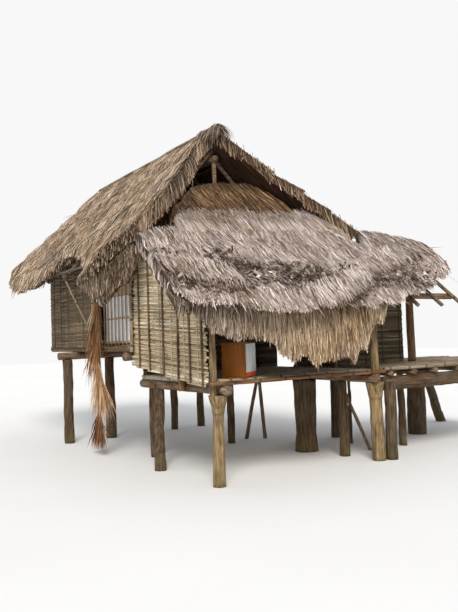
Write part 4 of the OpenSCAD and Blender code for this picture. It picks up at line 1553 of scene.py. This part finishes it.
@dataclass
class Frond:
    """Dry frond on its rib: three bundles of leaflets from the purlin to the ground."""

    rib_radius: float = 0.011
    rib_place: float = 0.53731
    rib_end: float = 0.9
    sway: float = 0.012
    swell: float = 0.03
    kick: float = 0.12
    off_ground: float = 0.012
    arch: float = 0.9
    stations: int = 18
    width: tuple[float, float] = (0.007, 0.017)
    seed: int = 9
    bundles: tuple[Bundle, ...] = (
        Bundle(560, (0.8, 0.5), (0.13, 0.24), (-0.02, 0.19), 0.5),
        Bundle(340, (0.46, 0.34), (0.14, 0.24), (-0.17, 0.1), 0.85),
        Bundle(260, (0.22, 0.14), (0.1, 0.2), (-0.06, 0.12), 0.25),
    )

    def build(self, blade: Stamp) -> list[bpy.types.Object]:
        """Build the rib and its leaflets inside the CAD frond.

        Args:
            blade: The leaflet that is copied.

        Returns:
            Rib and leaflets.
        """
        low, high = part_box("hanging_frond")
        tall = high.z - low.z
        x, y = (low.x + high.x) / 2, low.y + self.rib_place * (high.y - low.y)
        spine = [Vector((x + self.sway * math.sin(5 * t),
                         y + self.swell * math.sin(3 * t) - self.kick * max(0, t - 0.5),
                         high.z - t * tall * self.rib_end)) for t in np.linspace(0, 1, self.stations + 1)]
        rib = self.rib(spine)
        dice = np.random.default_rng(self.seed)
        heap = LeafHeap(blade)
        for bundle in self.bundles:
            for _ in range(bundle.leaflets):
                share = dice.random()
                t = (1 - (bundle.roots[0] + share * (bundle.roots[1] - bundle.roots[0]))) / self.rib_end
                k = min(max(t, 0.0), 0.99) * self.stations
                root = spine[int(k)].lerp(spine[int(k) + 1], k % 1)
                end_z = max(low.z + self.off_ground, root.z - dice.uniform(*bundle.fall) * tall)
                end_x = root.x + dice.normal(0, 0.05)
                aside = dice.uniform(*bundle.spread) * tall * (0.35 + 0.65 * share)
                end = Vector((end_x, root.y + aside, end_z))
                path = [root.lerp(end, f) + Vector((0, aside * self.arch * f * (1 - f), 0))
                        for f in np.linspace(0, 1, BLADE_PARTS + 1)]
                way = (end - root).normalized()
                side = way.cross(Vector((1, 0.3 * dice.normal(), 0))).normalized()
                side.rotate(Matrix.Rotation(dice.normal(0, 0.7), 3, way))
                heap.add(path, side, dice.uniform(*self.width), dice.normal(bundle.tone, 0.2))
        piece = heap.join("frond_leaflets")
        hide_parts("hanging_frond")
        finish = LeafFinish("frond_leaf", RUST_LEAF, TAN_LEAF, (0.5, 0.62), root_shade_share=0.25)
        cane = CaneFinish("frond_rib_cane", Run.UP, "6b4524", "9a6a38", "b98a50")
        return [dress(rib, cane.material()), dress(piece, finish.material())]

    def rib(self, spine: list[Vector]) -> bpy.types.Object:
        """Draw the rib as a tapering tube through its points, closed at both ends.

        Args:
            spine: The points, from the purlin down.

        Returns:
            The rib.
        """
        curve = bpy.data.curves.new("frond_rib", "CURVE")
        curve.dimensions = "3D"
        line = curve.splines.new("POLY")
        line.points.add(len(spine) - 1)
        for k, (point, place) in enumerate(zip(line.points, spine)):
            point.co = (*place, 1.0)
            point.radius = 1.0 - 0.6 * k / len(spine)
        curve.bevel_depth = self.rib_radius
        curve.bevel_resolution = 2
        curve.use_fill_caps = True
        piece = bpy.data.objects.new("frond_rib", curve)
        bpy.context.scene.collection.objects.link(piece)
        take_up(piece)
        bpy.ops.object.convert(target="MESH")
        bpy.ops.object.shade_smooth_by_angle(angle=math.radians(50))
        return bpy.context.object


@dataclass
class HungSheet:
    """A thin blank sheet that hangs flat with small waves."""

    name: str
    origin: Vector
    way: Vector
    wide: float
    tall: float
    wave: float
    finish: SheetFinish
    rests_on: tuple[str, ...]
    replaced: tuple[str, ...] = ()

    def build(self) -> bpy.types.Object:
        """Build the sheet from its lower corner, along its way and up."""
        clear_selection()
        bpy.ops.mesh.primitive_grid_add(x_subdivisions=26, y_subdivisions=26, size=1, location=(0.5, 0.5, 0))
        piece = bpy.context.object
        piece.name = self.name
        bpy.ops.object.transform_apply(location=True)
        out = Vector((0, 0, 1)).cross(self.way)
        rows = []
        for u, v, _ in corners(piece.data):
            fold = self.wave * math.sin(9 * u + 2 * v) * (1 - 0.6 * v) + 0.4 * self.wave * math.sin(14 * v)
            rows.append(self.origin + self.way * (u * self.wide) + Vector((0, 0, v * self.tall)) + out * fold)
        place_corners(piece.data, np.array(rows))
        take_up(piece)
        bpy.ops.object.shade_smooth()
        for node in self.replaced:
            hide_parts(node)
        return dress(piece, self.finish.material())


@dataclass
class Cupboard:
    """Small varnished cupboard that stands askew on the veranda floor."""

    turn: float = math.radians(-52)
    deep_share: float = 1.35
    sheet_size: tuple[float, float] = (0.345, 0.362)
    sheet_corner: tuple[float, float, float] = (0.006, 0.012, 0.018)
    hem: float = 0.0437
    rim: float = 0.016
    groove: float = 0.002
    groove_deep: float = 0.006
    door_back: float = 0.004
    edge: float = 0.003

    def build(self) -> list[bpy.types.Object]:
        """Build the carcass, with an inset door on its front, and the sheet on its side."""
        low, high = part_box("cupboard")
        cos, sin = math.cos(self.turn), -math.sin(self.turn)
        wide = (high.x - low.x) / (cos + self.deep_share * sin)
        deep, tall = self.deep_share * wide, high.z - low.z
        corner = Vector((low.x, low.y + wide * sin, low.z))
        clear_selection()
        bpy.ops.mesh.primitive_cube_add(size=1, location=(wide / 2, deep / 2, tall / 2))
        piece = bpy.context.object
        piece.name = "cupboard_body"
        piece.scale = (wide, deep, tall)
        bpy.ops.object.transform_apply(location=True, scale=True)
        bpy.ops.object.mode_set(mode="EDIT")
        bpy.ops.mesh.select_all(action="DESELECT")
        bpy.ops.object.mode_set(mode="OBJECT")
        for face in piece.data.polygons:
            face.select = face.normal.y < -0.9
        bpy.ops.object.mode_set(mode="EDIT")
        for inset, depth in ((self.rim, 0), (self.groove, -self.groove_deep), (self.groove, self.door_back)):
            bpy.ops.mesh.inset(thickness=inset, depth=depth)
        bpy.ops.object.mode_set(mode="OBJECT")
        bevel = piece.modifiers.new("edges", "BEVEL")
        bevel.width, bevel.segments = self.edge, 2
        bpy.ops.object.modifier_apply(modifier=bevel.name)
        spin = Matrix.Rotation(self.turn, 4, "Z")
        piece.data.transform(Matrix.Translation(corner) @ spin)
        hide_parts("cupboard")
        dress(piece, BoardFinish("varnished_board").material())
        start = corner + spin @ (Vector((wide, 0, 0)) + Vector(self.sheet_corner))
        finish = SheetFinish("hung_paper", "eceef0", "cdd0d3", "e85a20", start.z + self.hem)
        paper = HungSheet("hung_paper", start, (spin @ Vector((0, 1, 0))).normalized(), *self.sheet_size,
                          wave=0.002, finish=finish, rests_on=("cupboard_body",))
        return [piece, paper.build()]


@dataclass
class Studio:
    """Camera of the photograph, a pale floor and soft lamps."""

    lens: float = 40.0
    place: Vector = field(default_factory=lambda: Vector((-3.80, -6.40, 1.60)))
    yaw: float = math.radians(32.0)
    pitch: float = math.radians(2.7)
    roll: float = math.radians(-2.0)
    sky: Colour = (0.93, 0.96, 1.0, 1.0)
    sky_strength: float = 0.68
    backdrop: Colour = (0.94, 0.94, 0.94, 1.0)
    sun_energy: float = 2.35
    sun_angle: float = math.radians(24)
    sun_way: tuple[float, float, float] = (0.48, 0.78, -0.82)

    def build(self) -> None:
        """Set up camera, floor and light."""
        bpy.context.scene.view_settings.view_transform = "Standard"
        self.camera()
        self.floor()
        self.light()

    def camera(self) -> None:
        """Place the camera as it was fitted to the photograph."""
        look = Vector((math.sin(self.yaw) * math.cos(self.pitch), math.cos(self.yaw) * math.cos(self.pitch),
                       math.sin(self.pitch)))
        level = Vector((math.cos(self.yaw), -math.sin(self.yaw), 0))
        up = level.cross(look)
        right = level * math.cos(self.roll) + up * math.sin(self.roll)
        above = up * math.cos(self.roll) - level * math.sin(self.roll)
        data = bpy.data.cameras.new("photo_camera")
        data.lens, data.sensor_width, data.sensor_fit = self.lens, 36.0, "AUTO"
        data.clip_end = 200.0
        eye = bpy.data.objects.new("photo_camera", data)
        turn = Matrix((right, above, -look)).transposed().to_4x4()
        eye.matrix_world = Matrix.Translation(self.place) @ turn
        bpy.context.scene.collection.objects.link(eye)
        bpy.context.scene.camera = eye

    def floor(self) -> None:
        """Lay a wide pale floor that takes the shadow."""
        clear_selection()
        bpy.ops.mesh.primitive_plane_add(size=90, location=(2, 6, -0.002))
        ground = bpy.context.object
        ground.name = "pale_floor"
        graph = Graph("pale_floor")
        soft = graph.ramp(graph.cloud((3, 3, 3), 2.0), ((0.3, "efeeec"), (0.7, "f3f2f1")))
        ground.data.materials.append(graph.close(soft, 0.9, graph.cloud((0.02, 0.02, 0.02), 2.0), 0.0005))
        ground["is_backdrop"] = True

    def light(self) -> None:
        """Light the hut from a pale sky and one broad sun."""
        world = bpy.data.worlds.new("pale_sky")
        bpy.context.scene.world = world
        world.use_nodes = True
        tree = world.node_tree
        tree.nodes.clear()
        end = tree.nodes.new("ShaderNodeOutputWorld")
        blend = tree.nodes.new("ShaderNodeMixShader")
        lamp, seen = tree.nodes.new("ShaderNodeBackground"), tree.nodes.new("ShaderNodeBackground")
        lamp.inputs["Color"].default_value = self.sky
        lamp.inputs["Strength"].default_value = self.sky_strength
        seen.inputs["Color"].default_value = self.backdrop
        path = tree.nodes.new("ShaderNodeLightPath")
        direct = path.outputs["Is Camera Ray"]
        for kind in ("Is Glossy Ray", "Is Transmission Ray"):
            either = tree.nodes.new("ShaderNodeMath")
            either.operation = "MAXIMUM"
            tree.links.new(direct, either.inputs[0])
            tree.links.new(path.outputs[kind], either.inputs[1])
            direct = either.outputs[0]
        for spot, start in enumerate((direct, lamp.outputs[0], seen.outputs[0])):
            tree.links.new(start, blend.inputs[spot])
        tree.links.new(blend.outputs[0], end.inputs[0])
        sun = bpy.data.lights.new("broad_sun", "SUN")
        sun.energy, sun.angle, sun.color = self.sun_energy, self.sun_angle, (1.0, 0.97, 0.92)
        lamp_piece = bpy.data.objects.new("broad_sun", sun)
        lamp_piece.rotation_euler = Vector(self.sun_way).to_track_quat("-Z", "Y").to_euler()
        bpy.context.scene.collection.objects.link(lamp_piece)


DARK_POST: Stops = ((0.3, "372d23"), (0.6, "685845"), (0.75, "87745d"))
BARK_UP = BarkFinish("bark_upright", Run.UP, "2b2117", "5a4531", "7d6449", DARK_POST, moss=0.35)
BARK_ACROSS = BarkFinish("bark_across", Run.ACROSS, "35291e", "74583e", "a3876a")
BARK_BACK = BarkFinish("bark_back", Run.BACK, "32261b", "6e533b", "9b8065")
POLES_ACROSS = CaneFinish("floor_poles", Run.ACROSS, "493c30", "8c7a66", "b9a890")

TIMBERS: tuple[Timber, ...] = (
    Timber("corner_trunks", ("front_left_post", "front_right_post"), Run.UP,
           BarkFinish("bark_corner", Run.UP, "4a3a28", "8f7653", "b99f76",
                      ((0.3, "4c4030"), (0.6, "927e5d"), (0.75, "b5a27c")), moss=0.3),
           ring=0.06, crook=0.01, bark=0.008),
    Timber("stilt_posts", ("left_middle_post", "room_posts", "inner_veranda_posts", "deck_posts"), Run.UP,
           BARK_UP, ring=0.11, crook=0.018, bark=0.009),
    Timber("brace_poles", ("slanting_props",), Run.UP, BarkFinish("bark_brace", Run.UP, moss=0.2),
           ring=0.08, crook=0.006, bark=0.003),
    Timber("floor_logs", ("veranda_beams", "room_beams", "sill_log"), Run.BACK, BARK_BACK,
           ring=0.15, crook=0.005, bark=0.005),
    Timber("cross_timbers", ("cross_logs",), Run.ACROSS, BARK_ACROSS,
           ring=0.1, crook=0.005, bark=0.006),
    Timber("deck_big_log", ("deck_front_log",), Run.ACROSS,
           BarkFinish("bark_deck_log", Run.ACROSS, "2b2015", "553f2b", "785f46", DARK_POST),
           ring=0.08, crook=0.006, bark=0.009),
    Timber("deck_frame_poles", ("deck_frame",), Run.BACK, BARK_BACK,
           ring=0.2, crook=0.004, bark=0.004),
    Timber("edge_cane", ("front_edge_pole",), Run.ACROSS,
           CaneFinish("edge_cane", Run.ACROSS, "3f2c1c", "7f5a38", "a67d50"), "edge_bamboo",
           ring=0.06, crook=0.005, bark=0.003),
    # Painted light: the veranda poles are pale bamboo, and their tones are raised further to offset the shade
    # of the skirt roof over them.
    Timber("veranda_poles", ("veranda_floor",), Run.ACROSS,
           CaneFinish("veranda_cane", Run.ACROSS, "8a7861", "d0bfa6", "efe3cd"), "pole_wood",
           ring=0.4, crook=0.005, bark=0.003),
    Timber("room_poles", ("room_floor",), Run.ACROSS, POLES_ACROSS, "pole_wood",
           ring=0.6, crook=0.004, bark=0.002),
    Timber("deck_top_poles", ("deck_poles",), Run.ACROSS, POLES_ACROSS, "pole_wood",
           ring=0.45, crook=0.011, bark=0.004),
    Timber("pale_canes", ("pale_poles",), Run.UP,
           CaneFinish("pale_cane", Run.UP, "86755c", "bca98a", "d8c9ad"), "pale_bamboo",
           ring=0.06, crook=0.006, bark=0.002),
    Timber("ridge_cane", ("ridge_top_pole",), Run.BACK,
           CaneFinish("ridge_cane", Run.BACK, "6b5c48", "9a8b72", "b9ab90"), "pale_bamboo",
           ring=0.1, crook=0.012, bark=0.003),
    Timber("wall_uprights", ("room_uprights", "veranda_uprights"), Run.UP,
           BarkFinish("bark_upright_pole", Run.UP, "3c2818", "805a39", "a67d54",
                      ((0.3, "46362a"), (0.6, "7d6650"), (0.75, "9c866c"))), "pole_wood",
           ring=0.12, crook=0.006, bark=0.003),
    Timber("plates", ("wall_plates", "ridge_pole"), Run.BACK, BARK_BACK,
           ring=0.25, crook=0.004, bark=0.003),
    Timber("skirt_timbers", ("skirt_plates", "gable_frame"), Run.ACROSS, BARK_ACROSS,
           ring=0.2, crook=0.004, bark=0.003),
    Timber("wall_battens", ("left_wall_battens",), Run.UP,
           CaneFinish("batten_cane", Run.UP, "3f3021", "6e5840", "8f7758"), "pole_wood",
           ring=0.05, crook=0.007, bark=0.001),
)

WALL_TONES: Stops = ((0.0, "9c876a"), (0.3, "c8b28f"), (0.6, "e0cca8"), (0.85, "efe2c3"), (1.0, "f8f0da"))
# Painted shade: REAR_TONES and DARK_TONES are darker tones for the walls that stand in shade behind and under
# the roofs.
REAR_TONES: Stops = ((0.0, "43372a"), (0.4, "665541"), (0.75, "847157"), (1.0, "9d8a6c"))
DARK_TONES: Stops = ((0.0, "33291e"), (0.5, "5b4d3a"), (1.0, "84745a"))

WALLS: tuple[WovenWall, ...] = (
    WovenWall("front_left_weave", "left_wall_front", Run.BACK,
              StripFinish("weave_front", Run.BACK, WALL_TONES), "woven_bamboo",
              pitch=0.024, stake=0.31, rise=0.06, ragged=0.09, seed=3, swing=0.0035, cover=(0.88, 1.1)),
    WovenWall("rear_left_weave", "left_wall_rear", Run.BACK,
              StripFinish("weave_rear", Run.BACK, REAR_TONES), "dark_matting",
              stake=0.36, ragged=0.01, seed=4),
    WovenWall("right_weave", "right_wall", Run.BACK,
              StripFinish("weave_right", Run.BACK, REAR_TONES), "dark_matting",
              stake=0.36, ragged=0.01, seed=5, outward=1.0),
    WovenWall("room_front_weave", "room_front_wall", Run.ACROSS,
              StripFinish("weave_inner", Run.ACROSS, DARK_TONES), "dark_matting",
              seed=6),
    WovenWall("screen_weave", "deck_screen", Run.ACROSS,
              StripFinish("weave_screen", Run.ACROSS, DARK_TONES), "dark_matting",
              seed=8),
    WovenWall("screen_side_weave", "deck_screen", Run.BACK,
              StripFinish("weave_screen_side", Run.BACK, DARK_TONES), "dark_matting",
              seed=9),
    WovenWall("rear_weave", "rear_wall", Run.ACROSS,
              StripFinish("weave_back", Run.ACROSS, REAR_TONES), "dark_matting",
              stake=0.36, ragged=0.008, seed=7, outward=1.0),
)

COURSE_EDGES: tuple[Edge, ...] = (
    ((-1.89, -0.26), (-1.51, -0.36), (-1.02, -0.42)),
    ((-0.17, -0.72), (0.37, -0.54), (0.91, -0.31), (1.51, -0.04), (2.33, 0.21)),
)
COURSES: tuple[Course, ...] = (
    # Painted shadow: course_shade lays dark leaves just under the raised edge of course_top, to darken the
    # line below it.
    Course(name="course_shade", node="skirt_thatch_upper", slot="weathered_thatch", count=60000, seed=18,
           leaf=LeafFinish("leaf_shade", SHADED_LEAF, SHADED_LEAF, (0.5, 0.7)),
           length=(0.24, 0.34), lift=(0.022, 0.04), front_only=True, min_up=0.3, fall=(0.12, 0.2)),
    Course(name="course_top", node="skirt_thatch_upper", slot="weathered_thatch", count=80000, seed=17,
           leaf=LeafFinish("leaf_course", GREY_LEAF, BROWN_GREY_LEAF, (0.5, 0.72), root_shade_share=0.2),
           length=(0.26, 0.36), lift=(0.045, 0.085), front_only=True, min_up=0.3, fall=(0.19, 0.33)),
)

THATCHES: tuple[Thatch, ...] = (
    Thatch(name="thatch_left", node="thatch_left", slot="thatch", count=26500, seed=11,
           core=CoreFinish("core_left", (0, -SLOPE_TURN, 0)),
           leaf=LeafFinish("leaf_main", TAN_LEAF, BROWN_GREY_LEAF, (0.5, 0.72), root_shade_share=0.45),
           lean=(0, -0.12, 0), overhang=0.07, verge=0.5),
    Thatch(name="thatch_right", node="thatch_right", slot="thatch", count=13000, seed=12,
           core=CoreFinish("core_right", (0, SLOPE_TURN, 0), "2a1b13", "553b29", "7b5a42"),
           leaf=LeafFinish("leaf_right", TAN_LEAF, BROWN_GREY_LEAF, (0.5, 0.72), root_shade_share=0.45),
           lean=(0, -0.1, 0), overhang=0.07, verge=0.3),
    Thatch(name="gable_thatch", node="gable_thatch", slot="thatch", count=6000, seed=13,
           core=CoreFinish("core_gable", (SKIRT_TURN, 0, 0)),
           leaf=LeafFinish("leaf_gable", SHADED_LEAF, SHADED_LEAF, (0.5, 0.9)),
           overhang=0.06, front_only=True),
    Thatch(name="skirt_lower", node="skirt_thatch_lower", slot="thatch", count=17500, seed=14,
           core=CoreFinish("core_fringe", (SKIRT_TURN, 0, 0)),
           leaf=LeafFinish("leaf_fringe", FRESH_LEAF, BROWN_GREY_LEAF, (0.5, 0.8), root_shade_share=0.45,
                           greying=(1.2, -0.2)),
           length=(0.22, 0.46), overhang=0.05, front_only=True, min_up=-0.75, sides=0.03, verge=0.8),
    Thatch(name="skirt_upper", node="skirt_thatch_upper", slot="weathered_thatch", count=29000, seed=15,
           core=CoreFinish("core_skirt", (SKIRT_TURN, 0, 0), "30261f", "5f524a", "8b7d74"),
           leaf=LeafFinish("leaf_skirt", GREY_LEAF, BROWN_GREY_LEAF, (0.5, 0.72), root_shade_share=0.4),
           overhang=0.06, front_only=True, sides=0.25, verge=0.4),
    Thatch(name="eave_curtain", node="hanging_thatch", slot="weathered_thatch", count=5000, seed=16,
           core=CoreFinish("core_curtain", (0, 0, 0)),
           leaf=LeafFinish("leaf_curtain", CURTAIN_SHADE_LEAF, BROWN_GREY_LEAF, (0.5, 0.7)),
           length=(0.12, 0.26), overhang=0.01, min_up=-0.9, yaw=12, stray=0.03),
)


@dataclass
class PlainNodes:
    """CAD nodes whose shape is right: they stay and take a finish."""

    finishes: dict[str, Finish] = field(default_factory=lambda: {
        "left_wall_middle": StripFinish("bay_slats", Run.UP, ((0.0, "a58a69"), (1.0, "b39877")), "6a5540"),
        "rafters": BarkFinish("rafter_bark", Run.ACROSS, "2a2018", "5a4838", "7c6a55"),
        "purlins": CaneFinish("purlin_cane", Run.BACK, "3c2f22", "6d5b45", "8e7b60"),
        "skirt_rafters": CaneFinish("skirt_rafter_cane", Run.BACK, "4a3b2b", "7f6c52", "a3906f"),
    })

    def build(self, hut: Hut) -> None:
        """Put each finish in its node's material slots."""
        for name, finish in self.finishes.items():
            material = finish.material()
            for spot in hut.nodes[name].material_slots:
                spot.material = material


def main() -> None:
    """Dress the whole hut in order and report the timbers, walls, thatches and litter."""
    logging.basicConfig(level=logging.INFO, format="%(message)s")
    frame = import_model()
    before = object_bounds()
    hut = Hut.read(frame, before)
    noise.seed_set(NOISE_SEED)
    Studio().build()
    blade, strip = Stamp.blade(), Stamp.strip()
    for timber in TIMBERS:
        LOG.info("timber %s: %d faces", timber.name, len(timber.build(hut).data.polygons))
    for wall in WALLS:
        LOG.info("wall %s: %d faces", wall.name, len(wall.build(hut, strip).data.polygons))
    for thatch in THATCHES:
        pieces = thatch.build(hut, blade)
        LOG.info("thatch %s: %s faces", thatch.name, [len(p.data.polygons) for p in pieces])
    Tuft(LeafFinish("leaf_tuft", BROWN_GREY_LEAF, GREY_LEAF)).build(blade)
    GableWing(LeafFinish("leaf_wing", SHADED_LEAF, FRESH_LEAF, (0.45, 0.7))).build(hut, blade)
    for edge in COURSE_EDGES:
        for course in COURSES:
            course.build(hut, blade, edge)
    crest_leaf = LeafFinish("leaf_crest", GREY_LEAF, BROWN_GREY_LEAF, (0.42, 0.62), root_shade_share=0.4)
    Crest(crest_leaf).build(hut, blade)
    litter = Litter(name="skirt_litter", node="skirt_thatch_upper", slot="weathered_thatch", count=16000,
                    seed=5, leaf=LeafFinish("fallen_leaf", BARK_LEAF, GREY_LEAF, (0.55, 0.7)), min_up=0.4)
    LOG.info("litter: %d faces", len(litter.build(hut, blade).data.polygons))
    Frond().build(blade)
    Cupboard().build()
    low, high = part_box("window_sheet")
    finish = SheetFinish("bay_sheet", "f0f4f8", "d6dde5")
    HungSheet("bay_sheet", Vector(((low.x + high.x) / 2, low.y, low.z)), Vector((0, 1, 0)), high.y - low.y,
              high.z - low.z, wave=0.0012, finish=finish, rests_on=("left_wall_middle",),
              replaced=("window_sheet",)).build()
    PlainNodes().build(hut)


if __name__ == "__main__":
    main()
